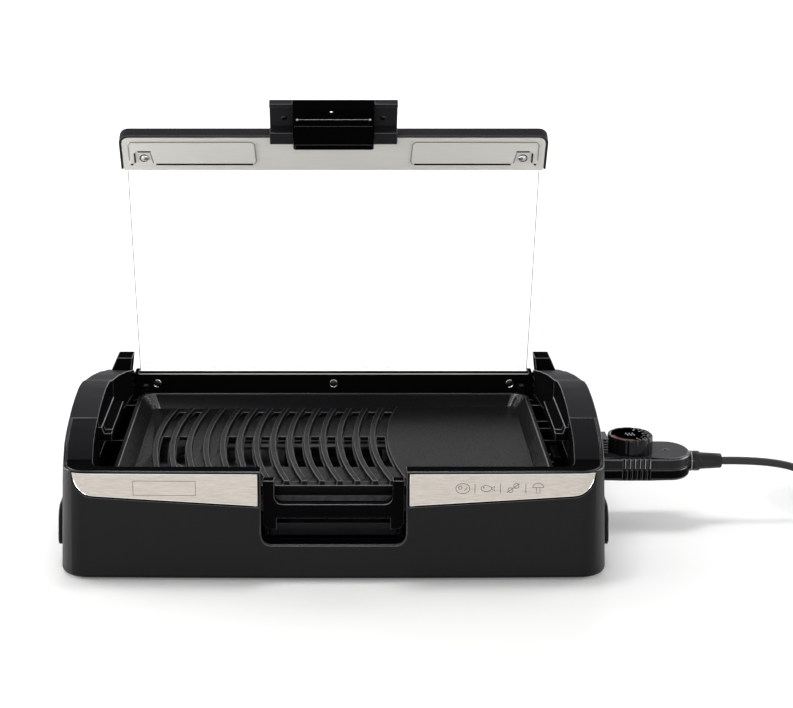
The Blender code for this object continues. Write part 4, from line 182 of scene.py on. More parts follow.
# Cast aluminium under a sprayed non-stick coat: dark grey, satin, an orange-peel skin about 1 mm across
def nonStickCoat(name):
    material, tree, shader, place = startMaterial(name, {"IOR": 1.4, "Specular IOR Level": 0.05})
    peel = addNode(tree, "ShaderNodeTexNoise", {"Vector": place, "Scale": 750, "Detail": 3, "Roughness": 0.55})
    cloud = addNode(tree, "ShaderNodeTexNoise", {"Vector": place, "Scale": 30, "Detail": 3})
    fleck = addNode(tree, "ShaderNodeTexVoronoi", {"Vector": place, "Scale": 900})
    spark = addNode(tree, "ShaderNodeMapRange", {
        "Value": fleck.outputs["Distance"], "From Min": 0.02, "From Max": 0.14, "To Min": 1, "To Max": 0})
    coat = addNode(tree, "ShaderNodeMix", {
        "Factor": cloud.outputs["Fac"], 6: hexColour("#0e0e0f"), 7: hexColour("#141415")}, data_type="RGBA")
    finishMaterial(tree, shader, (spark.outputs[0], coat.outputs[2], hexColour("#323233")),
                   (peel.outputs["Fac"], 0.3, 0.7, 0.24, 0.36), peel.outputs["Fac"], 0.2, 0.00012)
    return material


# Bare metals of the inside, told apart by tint, crystal size and how dull they are
def plainMetal(name, dark, light, rough, crystal, tarnish):
    material, tree, shader, place = startMaterial(name, {"Metallic": 1})
    spangle = addNode(tree, "ShaderNodeTexVoronoi", {"Vector": place, "Scale": 1 / crystal})
    stain = addNode(tree, "ShaderNodeTexNoise", {"Vector": place, "Scale": 60, "Detail": 4}).outputs["Fac"]
    share = addNode(tree, "ShaderNodeMath", {0: spangle.outputs["Distance"], 1: stain}, operation="MULTIPLY")
    finishMaterial(tree, shader, (share.outputs[0], hexColour(light), hexColour(dark)),
                   (stain, 0.3, 0.7, rough, rough + tarnish), stain, 0.08, 0.0001)
    return material


# Tempered float glass: clear right through, with a trace of smear
def temperedGlass(name):
    material, tree, shader, place = startMaterial(name, {
        "Base Color": hexColour("#fdfefd"), "Transmission Weight": 1, "IOR": 1.45, "Roughness": 0.0})
    film = addNode(tree, "ShaderNodeTexNoise", {"Vector": place, "Scale": 9, "Detail": 2})
    finishMaterial(tree, shader, gloss=(film.outputs["Fac"], 0, 1, 0.0, 0.004))
    return material


# Acrylic lens, dark amber while it is unlit: clear colour all through, glossy
def amberAcrylic(name):
    material, tree, shader, place = startMaterial(name, {
        "Base Color": hexColour("#1a1513"), "Transmission Weight": 0.2, "IOR": 1.49, "Roughness": 0.3})
    swirl = addNode(tree, "ShaderNodeTexNoise", {"Vector": place, "Scale": 400, "Detail": 2})
    finishMaterial(tree, shader, height=swirl.outputs["Fac"], bump=0.05, depth=0.0002)
    return material


materials = {
    "black_abs": mouldedAbs("moulded ABS, spark-eroded black", "#252527", "#2b2b2d", 0.45, 0.9 * mm, 0.012),
    "gloss_black_abs": polishedAbs("polished ABS, piano black", "#0d0d0e", 0.14, 0.12),
    "bakelite": pressedPhenolic("pressed phenolic, black", "#0c0c0d", "#141415", 0.06),
    "brushed_stainless": brushedStainless(
        "brushed stainless steel", "#aaa39b", "#cfc8c0", 0.42, 0.75, (9 * mm, 0.8 * mm), 0.36),
    "satin_stainless": brushedStainless(
        "satin stainless steel", "#d8d6d0", "#e4e2dc", 0.5, 0.08, (30 * mm, 0.9 * mm), 0.6),
    "nonstick_cast_aluminium": nonStickCoat("non-stick coat on cast aluminium"),
    # vitreous enamel on pressed steel: black, wet looking, slightly wavy
    "black_enamel": skinMaterial(
        "vitreous enamel, black", 1.55, 0.05, hexColour("#17171a"), hexColour("#222225"),
        {"Scale": 120, "Detail": 2}, None, (0, 1, 0.16, 0.3), (0.15, 0.0003)),
    "aluminised_steel": plainMetal("aluminised steel", "#4a4b4d", "#77787a", 0.42, 5 * mm, 0.2),
    "element_sheath": plainMetal("incoloy sheath, heat tinted", "#4e4d4b", "#7f7d79", 0.45, 2 * mm, 0.2),
    # steatite, fired and unglazed: chalky off-white with a faint grit
    "ceramic": skinMaterial(
        "fired steatite", 1.55, 0.3, hexColour("#cfc8b8"), hexColour("#e6e0d2"),
        {"Scale": 1400, "Detail": 3}, None, (0, 1, 0.6, 0.8), (0.2, 0.0001)),
    "plated_steel": plainMetal("zinc plated steel", "#8d8e90", "#c3c4c6", 0.22, 1.5 * mm, 0.12),
    "tempered_glass": temperedGlass("tempered glass, clear"),
    "rubber": softMoulding("moulded rubber, black", "#151515", "#1e1e1e", 0.68, 0.7 * mm, 0.3),
    "cord_vinyl": softMoulding("flexible vinyl, black", "#121213", "#1a1a1b", 0.34, 0.8 * mm, 0.12),
    "plated_brass": plainMetal("nickel plated brass", "#5e563f", "#8a7f60", 0.35, 1.5 * mm, 0.15),
    "lamp_lens": amberAcrylic("amber acrylic"),
}
# The same materials where they look otherwise: black darkened as painted shade on walls, rails and the probe's
# underside, an arch front lightened as painted light, a drafted skin, extra shine for glints, painted highlights on
# broken edges and ridges (which are also shinier), painted shade in the band's pressed steps, ground glass, and inks
# painted shade: black ABS darkened where the frame, rails, walls and ears lie in shade
shadeDarkAbs = mouldedAbs("moulded ABS, black darkened as painted shade", "#0a0a0b", "#0e0e0f", 0.5, 0.8 * mm, 0)
housingAbs = mouldedAbs("moulded ABS, drafted skin", "#0c0c0d", "#111112", 0.42, 0.9 * mm, 0.13)
# painted light: the arch front lighter than the black round it
archLitAbs = mouldedAbs("moulded ABS, arch front lightened as painted light", "#1c1c1e", "#212123", 0.5, 0.9 * mm, 0.006)
# extra shine on the plate's corners for glints; as the probe underside's edge colour it is a painted highlight
glintCoat = polishedAbs("non-stick coat, extra shine for glints", "#141415", 0.26, 0.5)
insertPhenolic = pressedPhenolic("pressed phenolic, polished black", "#040404", "#080808", 0)
probeAbs = polishedAbs("polished ABS, probe shell", "#2f2f32", 0.2, 0.04)
# painted shade: the probe's underside and the grooves round the trims darker
underShadeAbs = mouldedAbs("moulded ABS, probe underside", "#060607", "#09090a", 0.4, 0.9 * mm, 0.01)
# painted highlight: broken edges lighter than the black, and shinier
edgeHighlight = polishedAbs("ABS, painted highlight on broken edges", "#3a3a3d", 0.26, 0.5)
# painted highlight: the coat's broken edges lighter, and shinier
coatEdgeHighlight = polishedAbs("non-stick coat, painted highlight on broken edges", "#3c3c3e", 0.28, 0.55)
# painted highlight: ridges, fins and the relief's ring in a near-white colour
ridgeHighlight = polishedAbs("ABS, painted highlight on ridges", "#c4c4c8", 0.2, 1.0)
reliefVinyl = polishedAbs("polished vinyl, black", "#0b0b0c", 0.2, 0.22)
blackZinc = plainMetal("black zinc plated steel", "#0d0d0e", "#333437", 0.28, 1.5 * mm, 0.12)
# painted shade: the band's pressed steps drawn as dark and grey lines
stepShade = padInk("painted shadow in a pressed step, black", "#161514")
stepHalfShade = padInk("painted shade on a pressed step, grey", "#85827c")
mirrorSteel = plainMetal("polished stainless steel", "#f0f0ee", "#f8f8f6", 0.03, 3 * mm, 0.03)
groundEdge = softMoulding("glass, ground edge", "#707472", "#868a88", 0.4, 0.8 * mm, 0.05)
inkWhite = padInk("pad ink, white", "#dcdcdc")
inkRed = padInk("pad ink, red", "#620c17")
dialBlack = padInk("pad ink, black", "#1c1c1d")
etchedLine = padInk("etched line, dark grey", "#4a4743")
finishOf = {  # nodes with another finish than their slot's
    # painted shade: the frame, rail, clamp strip and tray front in the darkened black
    "top_frame": shadeDarkAbs, "hinge_rail": shadeDarkAbs, "clamp_strip": shadeDarkAbs, "tray_front": shadeDarkAbs,
    "handle_insert": insertPhenolic, "outer_housing": housingAbs, "probe_upper_shell": probeAbs,
    # painted shade: the probe's underside darker
    "probe_lower_shell": underShadeAbs, "hinge_pin_left": blackZinc, "hinge_pin_right": blackZinc,
    "contact_front": blackZinc, "contact_rear": blackZinc, "sensing_rod": blackZinc,
}
edgeOf = {  # and of their broken edges, mostly lighter as a painted highlight and also shinier; the slots below get the painted edge highlight too
    # painted highlights: the plate's edges in a lighter coat, the black clamp strip's edges in mirror steel
    "grill_plate": coatEdgeHighlight, "clamp_strip": mirrorSteel, "handle_insert": insertPhenolic,
    # painted highlight: the probe underside's edges lighter than the shell
    "probe_lower_shell": glintCoat,
}
edgeSlots = ("black_abs", "bakelite", "gloss_black_abs", "nonstick_cast_aluminium")
print("materials ready:", len(bpy.data.materials))


# ---- shared makers' helpers: sizes in mm, centres and points in metres ----

def meshObject(name, bm, material=None, angle=None):  # smooth faces, sharp where the form turns by more than the angle
    mesh = bpy.data.meshes.new(name)
    bm.to_mesh(mesh)
    bm.free()
    if angle:
        mesh.polygons.foreach_set("use_smooth", [True] * len(mesh.polygons))
        mesh.set_sharp_from_angle(angle=math.radians(angle))
        mesh.update()
    if material:
        mesh.materials.append(material)
    obj = bpy.data.objects.new(name, mesh)
    bpy.context.scene.collection.objects.link(obj)
    return obj


def addPiece(name, bm, body, slot, material=None, angle=35):  # a finished bmesh becomes a piece of the object
    piece = meshObject(name, bm, material or materials[slot], angle)
    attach(piece, body)
    return piece


def evenShading(piece):  # shades flat faces flat beside their rounded edges
    piece.modifiers.new("even shading", "WEIGHTED_NORMAL").keep_sharp = True


def roundEdges(piece, width, segments, limit, edgeMaterial):  # breaks the outer edges, not the inner corners
    bm = bmesh.new()
    bm.from_mesh(piece.data)
    weight = bm.edges.layers.float.new("bevel_weight_edge")
    for edge in bm.edges:
        edge[weight] = edge.is_manifold and edge.calc_face_angle_signed(0) > math.radians(limit)
    bm.to_mesh(piece.data)
    bm.free()
    bevel = piece.modifiers.new("rounded edges", "BEVEL")
    bevel.width = width * mm
    bevel.segments = segments
    bevel.limit_method = "WEIGHT"
    bevel.use_clamp_overlap = False
    bevel.miter_outer = "MITER_ARC"
    if edgeMaterial:
        piece.data.materials.append(edgeMaterial)
        bevel.material = 1
    evenShading(piece)


def roundedCopy(node, width, segments=2, angle=30):  # the CAD shape with its edges broken
    bm = bmesh.new()
    bm.from_mesh(nodes[node].data)
    bmesh.ops.remove_doubles(bm, verts=bm.verts, dist=0.01 * mm)
    bmesh.ops.join_triangles(bm, faces=bm.faces, angle_face_threshold=math.radians(0.5), angle_shape_threshold=math.pi)
    slot = slotOf[node]
    piece = addPiece(node + "Finish", bm, bodyOf[node], slot, finishOf.get(node), angle)
    if width:
        # the broken edges get a painted highlight
        roundEdges(piece, width, segments, angle, edgeOf.get(node, edgeHighlight if slot in edgeSlots else None))
    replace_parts(piece, node)
    return piece


def placed(bm, matrix):  # moves and turns a form
    bmesh.ops.transform(bm, matrix=matrix, verts=bm.verts)
    return bm


def outwardFaces(bm):  # turns all its faces to the outside
    bmesh.ops.recalc_face_normals(bm, faces=bm.faces)
    return bm


def cutEdges(bm, edges, width, segments=2):  # rounds some edges, in mm
    bmesh.ops.bevel(bm, geom=edges, offset=width * mm, segments=segments, profile=0.5, affect="EDGES", material=-1)
    return bm


def liftFaces(bm, faces, by):  # extrudes faces and moves them; gives the new vertices
    lifted = bmesh.ops.extrude_face_region(bm, geom=faces)
    verts = [v for v in lifted["geom"] if isinstance(v, bmesh.types.BMVert)]
    bmesh.ops.translate(bm, vec=by, verts=verts)
    return verts


def flatPlate(outline, thickness, corner=0, edge=0, cornerSteps=4):  # a flat shape in mm, front along +Z
    bm = bmesh.new()
    bm.faces.new([bm.verts.new((x * mm, y * mm, 0)) for x, y in outline])
    if corner:
        bmesh.ops.bevel(bm, geom=bm.verts[:], offset=corner * mm, segments=cornerSteps, profile=0.5,
                        affect="VERTICES", material=-1)
    front = liftFaces(bm, bm.faces[:], (0, 0, thickness * mm))
    outwardFaces(bm)
    if edge:
        cutEdges(bm, [e for e in bm.edges if all(v in front for v in e.verts) and len(e.link_faces) == 2], edge)
    return bm


def turnedForm(stations, steps, centre=(0, 0, 0), axis="Z"):  # spins a profile of (along, radius) in mm round an axis
    bm = bmesh.new()
    verts = [bm.verts.new((radius * mm, 0, along * mm)) for along, radius in stations]
    for a, b in zip(verts, verts[1:]):
        bm.edges.new((a, b))
    bmesh.ops.spin(bm, geom=bm.verts[:] + bm.edges[:], cent=(0, 0, 0), axis=(0, 0, 1), angle=2 * math.pi,
                   steps=steps, use_merge=True, use_duplicate=False)
    bmesh.ops.remove_doubles(bm, verts=bm.verts, dist=0.001 * mm)
    bmesh.ops.holes_fill(bm, edges=[e for e in bm.edges if e.is_boundary])
    turn = Matrix.Rotation(math.pi / 2, 4, "Y") if axis == "X" else Matrix()
    return placed(outwardFaces(bm), Matrix.Translation(centre) @ turn)


def joined(forms):  # one bmesh of several
    whole = bmesh.new()
    for form in forms:
        mesh = bpy.data.meshes.new("joined")
        form.to_mesh(mesh)
        form.free()
        whole.from_mesh(mesh)
        bpy.data.meshes.remove(mesh)
    return whole


def carve(bm, cutter):  # takes the cutter's form out of the first one
    pair = [meshObject("carving", form) for form in (bm, cutter)]
    boolean = pair[0].modifiers.new("carve", "BOOLEAN")
    boolean.object = pair[1]
    boolean.operation = "DIFFERENCE"
    boolean.solver = "EXACT"
    bpy.context.view_layer.update()
    done = bmesh.new()
    done.from_object(pair[0], bpy.context.evaluated_depsgraph_get())
    for obj in pair:
        mesh = obj.data
        bpy.data.objects.remove(obj)
        bpy.data.meshes.remove(mesh)
    return done


def curveForm(curve):  # a curve or a text as a bmesh
    holder = bpy.data.objects.new(curve.name, curve)
    bpy.context.scene.collection.objects.link(holder)
    bpy.context.view_layer.update()
    mesh = bpy.data.meshes.new_from_object(holder.evaluated_get(bpy.context.evaluated_depsgraph_get()))
    bm = bmesh.new()
    bm.from_mesh(mesh)
    bpy.data.objects.remove(holder)
    bpy.data.curves.remove(curve)
    bpy.data.meshes.remove(mesh)
    return bm


def lineForm(points, radius, closed=False, roundness=3):  # a round line through points in metres
    curve = bpy.data.curves.new("line", "CURVE")
    curve.dimensions = "3D"
    spline = curve.splines.new("POLY")
    spline.points.add(len(points) - 1)
    for point, place in zip(spline.points, points):
        point.co = (*place, 1)
    spline.use_cyclic_u = closed
    curve.bevel_depth = radius * mm
    curve.bevel_resolution = roundness
    curve.use_fill_caps = True
    return curveForm(curve)


def circlePoints(x, y, a, b, steps=20, start=0.0, sweep=360.0):  # round an ellipse with the half axes a and b
    turns = [math.radians(start + sweep * i / steps) for i in range(steps + (sweep < 360))]
    return [(x + a * math.cos(t), y + b * math.sin(t)) for t in turns]


# ---- mains lead ----

cordSettings = {  # metres
    "radius": 0.00375, "start": 0.3625,
    # where the lead goes from the strain relief down to the table
    "route": [
        (.3633, 0, .0580), (.3710, 0, .0580), (.3800, .0001, .0579), (.3900, .0002, .0575), (.4000, .0004, .0568),
        (.4100, .0006, .0557), (.4200, .0009, .0540), (.4300, .0013, .0514), (.4400, .0018, .0473),
        (.4490, .0024, .0418), (.4560, .0030, .0351), (.4620, .0036, .0276), (.4680, .0043, .0198),
        (.4740, .0049, .0130), (.4800, .0054, .0082), (.4850, .0058, .0058),
    ],
    "routeStep": 0.0095, "clearance": 0.0003, "tieSheet": 0.0008,
    "coilCentre": (.5050, .0550), "coilRadius": .0490, "coilPitch": .0083, "layerRise": .0083,
    "startTurns": -0.25, "layerTurns": 1.7083, "climbTurns": 0.5, "tailTurns": 0.3334, "tailOut": .0180,
    "pointsPerTurn": 24, "plugHeight": .0088,
}


def eased(share):  # 0 to 1 with a soft start and end
    share = min(max(share, 0.0), 1.0)
    return share * share * (3 - 2 * share)


def smoothRoute(points, step):  # even points on a smooth curve through the route
    points = [Vector(p) for p in points]
    ends = [2 * points[0] - points[1], *points, 2 * points[-1] - points[-2]]
    fine = []
    for i in range(1, len(ends) - 2):
        p0, p1, p2, p3 = ends[i - 1:i + 3]
        for k in range(8):
            t = k / 8
            fine.append(0.5 * (2 * p1 + (p2 - p0) * t + (2 * p0 - 5 * p1 + 4 * p2 - p3) * t ** 2
                               + (3 * p1 - p0 - 3 * p2 + p3) * t ** 3))
    fine.append(points[-1])
    total = sum((b - a).length for a, b in zip(fine, fine[1:]))
    count = round(total / step)
    even, walked, target = [fine[0]], 0.0, total / count
    for a, b in zip(fine, fine[1:]):
        length = (b - a).length
        while walked + length >= target and len(even) < count:
            even.append(a.lerp(b, (target - walked) / length))
            target += total / count
        walked += length
    return [*even, fine[-1]]


def coilTurns(s):  # in along the table, up a layer, out again, then off to the plug
    layer, climb, tail = s["layerTurns"], s["climbTurns"], s["tailTurns"]
    low = s["tieSheet"] + s["clearance"] + s["radius"]
    total = layer + climb + layer + tail
    count = round(total * s["pointsPerTurn"])
    inner = s["coilRadius"] - s["coilPitch"] * layer
    points = []
    for i in range(count + 1):
        t = total * i / count
        if t <= layer:
            radius, z = s["coilRadius"] - s["coilPitch"] * t, low
        elif t <= layer + climb:
            u = t - layer
            radius = inner - s["coilPitch"] * u + s["coilPitch"] * u * u / climb
            z = low + s["layerRise"] * eased(u / climb)
        elif t <= layer + climb + layer:
            radius, z = inner + s["coilPitch"] * (t - layer - climb), low + s["layerRise"]
        else:
            u = (t - layer - climb - layer) / tail
            radius = s["coilRadius"] + s["tailOut"] * eased(u)
            z = low + s["layerRise"] - (low + s["layerRise"] - s["plugHeight"]) * eased((u - 0.3) / 0.7)
        turn = 2 * math.pi * (s["startTurns"] + t)
        points.append(Vector((
            s["coilCentre"][0] + radius * math.cos(turn), s["coilCentre"][1] + radius * math.sin(turn), z)))
    return points


def makeLead(s):  # the lead's curve, its length and where it leaves the strain relief
    coil = coilTurns(s)
    first = coil[0] - Vector((s["radius"] * 2, 0, 0))
    end = coil[-1] + Vector((0, s["radius"] * 2, 0))
    landing = first - Vector((s["clearance"] + s["radius"] * 2, 0, 0))
    run = smoothRoute([*s["route"], landing], s["routeStep"])
    points = [Vector((s["start"], 0, run[0].z)), *run[1:], first, *coil, end]
    curve = bpy.data.curves.new("mainsLead", "CURVE")
    curve.dimensions = "3D"
    spline = curve.splines.new("BEZIER")
    spline.bezier_points.add(len(points) - 1)
    for point, place in zip(spline.bezier_points, points):
        point.co = place
        point.handle_left_type = point.handle_right_type = "AUTO"
    curve.resolution_u = curve.render_resolution_u = 4
    curve.bevel_depth = s["radius"]
    curve.bevel_resolution = 4
    curve.use_fill_caps = True
    lead = bpy.data.objects.new("mainsLead", curve)
    bpy.context.scene.collection.objects.link(lead)
    curve.materials.append(materials["cord_vinyl"])
    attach(lead, "probe")
    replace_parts(lead, "cord_run", "cord_coil")
    bpy.context.view_layer.update()
    length = sum(c.calc_length() for c in curve.splines)
    print("mains lead: %.3f m" % length)
    return lead, length, points[0]


mainsLead, leadLength, leadExit = makeLead(cordSettings)


# ---- mouldings and metalwork that keep the CAD shape, with broken edges ----

edgeWidths = {  # mm of rounding and its steps; a name that ends in an underscore stands for a left and a right node
    "outer_housing": (0.7, 3), "top_frame": (0.5, 3), "side_cap_": (0.6, 3), "hinge_cover_": (0.6, 3),
    "trim_plate_": (0.25, 2), "side_grip_": (0.8, 3), "socket_frame": (0.3, 2), "bottom_cover": (0.4, 2),
    "reflector_pan": (0.3, 2), "foot_front_": (0.4, 2), "foot_rear_": (0.4, 2), "grill_plate": (0.6, 3),
    "drip_tray": (0.4, 2), "tray_front": (0.6, 3), "lid_band": (0.2, 2), "lid_frame": (0.5, 3), "lid_handle": (0.5, 3),
    "handle_insert": (0.8, 3), "hinge_rail": (0.6, 3), "clamp_strip": (0.5, 2), "probe_nose": (0.3, 2),
    "probe_lower_shell": (0.9, 3), "probe_upper_shell": (0.9, 3), "cord_tie": (0.15, 2), "terminal_block": (0.4, 2),
    "element_clip_": (0.2, 1), "lid_glass": (0.5, 2), "mains_plug": (1.2, 3),
}
finished = {}
for name, (width, segments) in edgeWidths.items():
    for node in ([name + "left", name + "right"] if name.endswith("_") else [name]):
        finished[node] = roundedCopy(node, width, segments)
for node in ("heating_element", "hinge_pin_left", "hinge_pin_right", "sensing_rod", "knob_shaft", "contact_front",
             "contact_rear", "plug_pin_left", "plug_pin_right"):
    finished[node] = roundedCopy(node, 0, angle=40)


def tintFaces(node, material, picked):  # another finish on the faces that the test picks by their middle
    mesh = finished[node].data
    mesh.materials.append(material)
    for face in mesh.polygons:
        if picked(face.center):
            face.material_index = len(mesh.materials) - 1


tintSettings = {  # metres: where painted shade, painted light or extra shine starts on a moulding; and the strip's top
    "capWall": 0.2125, "coverWall": 0.2095, "earFoot": 0.14, "archWall": 0.2115, "archFoot": 0.1,
    "plateCorner": (0.171, 0.092, 0.0795), "stripTop": 0.1035, "stripDrop": 0.0016,
}
s = tintSettings
for side in ("left", "right"):  # painted shade: the walls on the plate's side, and the ears, darker
    tintFaces("side_cap_" + side, shadeDarkAbs, lambda middle: abs(middle.x) < s["capWall"])
    tintFaces("hinge_cover_" + side, shadeDarkAbs, lambda middle: abs(middle.x) < s["coverWall"] or middle.z > s["earFoot"])
# painted light: the arch front's faces lighter than the rest of the frame
tintFaces("top_frame", archLitAbs, lambda middle: abs(middle.x) > s["archWall"] and middle.z > s["archFoot"])
cornerX, cornerY, cornerZ = s["plateCorner"]
# extra shine on the plate's rear corners for glints
tintFaces("grill_plate", glintCoat,
          lambda middle: abs(middle.x) > cornerX and middle.y > cornerY and middle.z > cornerZ)
for v in finished["clamp_strip"].data.vertices:  # the pane's foot stays clear of the strip behind it
    if v.co.z > s["stripTop"]:
        v.co.z -= s["stripDrop"]
print("mouldings finished:", len(finished))


# ---- places on the lid's glass, which leans back from its hinge and bends to the front near its top ----

paneSettings = {"flat": 202.6, "bendRadius": 25.0, "face": 20.8, "lean": math.radians(1), "bend": math.radians(30)}
joints = {joint["name"]: joint for joint in frame["record"]["behaviour"]["joints"]}
hingeAt = Vector(joints["lid_hinge"]["pos_m"])


def leanPlace(x, up, back):  # mm across, up the lean and back from the hinge, to a point in metres
    lean = paneSettings["lean"]
    return hingeAt + Vector((
        x, up * math.sin(lean) + back * math.cos(lean), up * math.cos(lean) - back * math.sin(lean))) * mm


def bendPlace(x, turn, along=0.0, depth=0.0, sink=0.0):  # a place round the bend, then along the slope and into it
    s = paneSettings
    up = s["flat"] + s["bendRadius"] * math.sin(turn) + along * math.cos(turn) + depth * math.sin(turn)
    back = s["face"] + sink - s["bendRadius"] * (1 - math.cos(turn))
    return leanPlace(x, up, back - along * math.sin(turn) + depth * math.cos(turn))


def panePlace(x, along, depth):  # a place on the sloping front, past the bend
    return bendPlace(x, paneSettings["bend"], along, depth)


def paneMatrix(x, along, depth):  # stands a form on the lid's sloping front, facing the cook
    origin = panePlace(x, along, depth)
    upward = (panePlace(x, along + 10, depth) - origin).normalized()
    outward = (origin - panePlace(x, along, depth + 10)).normalized()
    turn = Matrix((Vector((1, 0, 0)), upward, outward)).transposed()
    return Matrix.Translation(origin) @ turn.to_4x4()


# ---- screws with a cross recess ----

screwSettings = {  # mm and degrees
    "radius": 3.5, "height": 1.6, "recess": 1.0, "armLength": 2.1, "armWidth": 0.8, "sides": 28,
    "profile": ((0, 0.96), (0.35, 1), (0.7, 0.88), (0.95, 0.6), (1, 0.3)),  # shares of the height and of the radius
    "bandSeat": (15.2, -1.1), "washer": (3.7, 0.15, 0.4), "firstTurn": 20, "turnStep": 35,
}


def screwHead(s):  # a pan head, front along +Z, seat at the origin
    bm = turnedForm([(s["height"] * up, s["radius"] * out) for up, out in s["profile"]], s["sides"])
    a, w = s["armLength"], s["armWidth"] / 2
    cross = flatPlate([(a, w), (w, w), (w, a), (-w, a), (-w, w), (-a, w), (-a, -w), (-w, -w), (-w, -a), (w, -a),
                       (w, -w), (a, -w)], s["recess"] + 2)
    bmesh.ops.translate(cross, vec=(0, 0, (s["height"] - s["recess"]) * mm), verts=cross.verts)
    return carve(bm, cross)


for node in ("rail_screw_left", "rail_screw_middle", "rail_screw_right", "band_screw_left", "band_screw_right"):
    s = screwSettings
    low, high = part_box(node)
    middle = (low + high) / 2
    spin = Matrix.Rotation(math.radians(s["firstTurn"] + s["turnStep"] * len(node) % 90), 4, "Z")
    if node.startswith("band"):
        place = paneMatrix(middle.x / mm, *s["bandSeat"]) @ spin
    else:
        lean = Matrix.Rotation(math.pi / 2 + paneSettings["lean"], 4, "X")
        place = Matrix.Translation((middle.x, low.y + s["height"] * mm, middle.z)) @ lean @ spin
        radius, height, wire = s["washer"]
        ring = [place @ Vector((x * mm, y * mm, height * mm)) for x, y in circlePoints(0, 0, radius, radius, 24)]
        addPiece(node + "Washer", lineForm(ring, wire, True, 2), "lid", "plated_steel", mirrorSteel)
    screw = addPiece(node + "Head", placed(screwHead(s), place), "lid", "plated_steel",
                     None if node.startswith("band") else blackZinc)
    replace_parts(screw, node)
print("screws made")


# ---- pressed panels of the lid's steel band ----

bandSettings = {"rise": 0.9, "edge": 0.8, "corner": 2.2, "sink": 0.1, "surface": 1.1}  # mm from the glass
bandPanel = [  # left panel seen from the front, mm from the middle and past the bend
    (-198.4, 34.2), (-198.2, 9.0), (-193.8, 9.0), (-192.9, 23.2), (-178.2, 23.2), (-175.0, 8.6), (-75.2, 8.6),
    (-76.8, 34.4),
]
for side, hand in sides:
    outline = [(-x * side, y) for x, y in bandPanel]
    bm = flatPlate(outline[::-1] if side > 0 else outline, bandSettings["rise"] + bandSettings["sink"],
                   bandSettings["corner"], bandSettings["edge"])
    place = paneMatrix(0, 0, bandSettings["sink"] - bandSettings["surface"])
    evenShading(addPiece("bandPanel" + hand, placed(bm, place), "lid", "satin_stainless", angle=50))
bandSteps = {  # left side, mm: where the steps of the pressing get painted shade as dark or grey lines, and the painted dark shade ring round the screw
    "dark": [[(-173.0, 7.9), (-78.6, 7.9)], [(-190.2, 23.7), (-177.6, 23.7)], [(-193.4, 10.5), (-193.4, 21.5)],
             [(-197.6, 7.4), (-195.6, 8.0)]],
    "grey": [[(-198.9, 13.0), (-198.9, 31.5), (-196.6, 34.9), (-79.6, 35.2), (-76.4, 32.4), (-75.0, 12.0),
              (-76.8, 8.6)], [(-178.0, 22.4), (-175.6, 9.6)]],
    "seat": circlePoints(-184.3, 15.2, 4.1, 4.1, 24), "seatRadius": 0.5, "proud": 0.75, "darkRadius": 0.78,
    "greyRadius": 0.36,
}


def bandLine(points, side, proud, radius, closed=False):  # a round line on the band, from mm of the left side
    return lineForm([panePlace(-side * x, y, -bandSettings["surface"] - proud) for x, y in points], radius, closed, 2)


# the dark and grey lines are painted shade on the pressed steps
for shade, material in (("dark", stepShade), ("grey", stepHalfShade)):
    lines, radius = [], bandSteps[shade + "Radius"]
    for side in (-1, 1):
        lines += [bandLine(points, side, bandSteps["proud"], radius) for points in bandSteps[shade]]
        if shade == "dark":
            lines.append(bandLine(bandSteps["seat"], side, 0, bandSteps["seatRadius"], True))
    addPiece(shade + "BandSteps", joined(lines), "lid", "satin_stainless", material)
print("band panels pressed")


# ---- hinge rail: the steel bead under the glass and its end brackets ----

railSettings = {  # mm: from and to along each axis; the lip and the bead end with the rounding of their edges
    "half": 194.2, "lip": (127.3, 130.2, 105.7, 107.4, 0.3), "bead": (127.0, 128.6, 104.3, 105.7, 0.4),
    "strip": (130.2, 150.2, 0.2, 0.35), "knuckleEdge": 0.8,  # the strip's last two: below and above the rail's top
    "knuckle": (189.0, 199.1, 128.0, 150.0, 96.2, 104.6), "foot": (189.6, 199.1, 126.8, 140.0, 83.6, 95.8),
}
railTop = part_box("hinge_rail")[1].z / mm


def boxForm(low, high):  # a small block between two corners in mm
    bm = bmesh.new()
    bmesh.ops.create_cube(bm, size=1)
    low, high = [Vector([value * mm for value in corner]) for corner in (low, high)]
    return placed(bm, Matrix.LocRotScale((low + high) / 2, None, high - low))


def softBox(low, high, width, segments=2):  # a block with its edges rounded
    bm = boxForm(low, high)
    return cutEdges(bm, bm.edges[:], width, segments)


half = railSettings["half"]
for name, slot, material in (("lip", "black_abs", insertPhenolic), ("bead", "satin_stainless", None)):
    y0, y1, z0, z1, edge = railSettings[name]
    addPiece("rail" + name.capitalize(), softBox((-half, y0, z0), (half, y1, z1), edge), "lid", slot, material)
y0, y1, sink, rise = railSettings["strip"]
strip = boxForm((-half, y0, railTop - sink), (half, y1, railTop + rise))
addPiece("railStrip", strip, "lid", "satin_stainless", mirrorSteel)
for side, hand in sides:
    blocks = []
    for x0, x1, y0, y1, z0, z1 in (railSettings["knuckle"], railSettings["foot"]):
        x0, x1 = sorted((side * x0, side * x1))
        blocks.append(softBox((x0, y0, z0), (x1, y1, z1), railSettings["knuckleEdge"], 3))
    # painted shade: the knuckles in the darkened black
    addPiece("knuckle" + hand, joined(blocks), "lid", "black_abs", shadeDarkAbs)
print("hinge rail trimmed")


# ---- handle insert: moulded steps ----

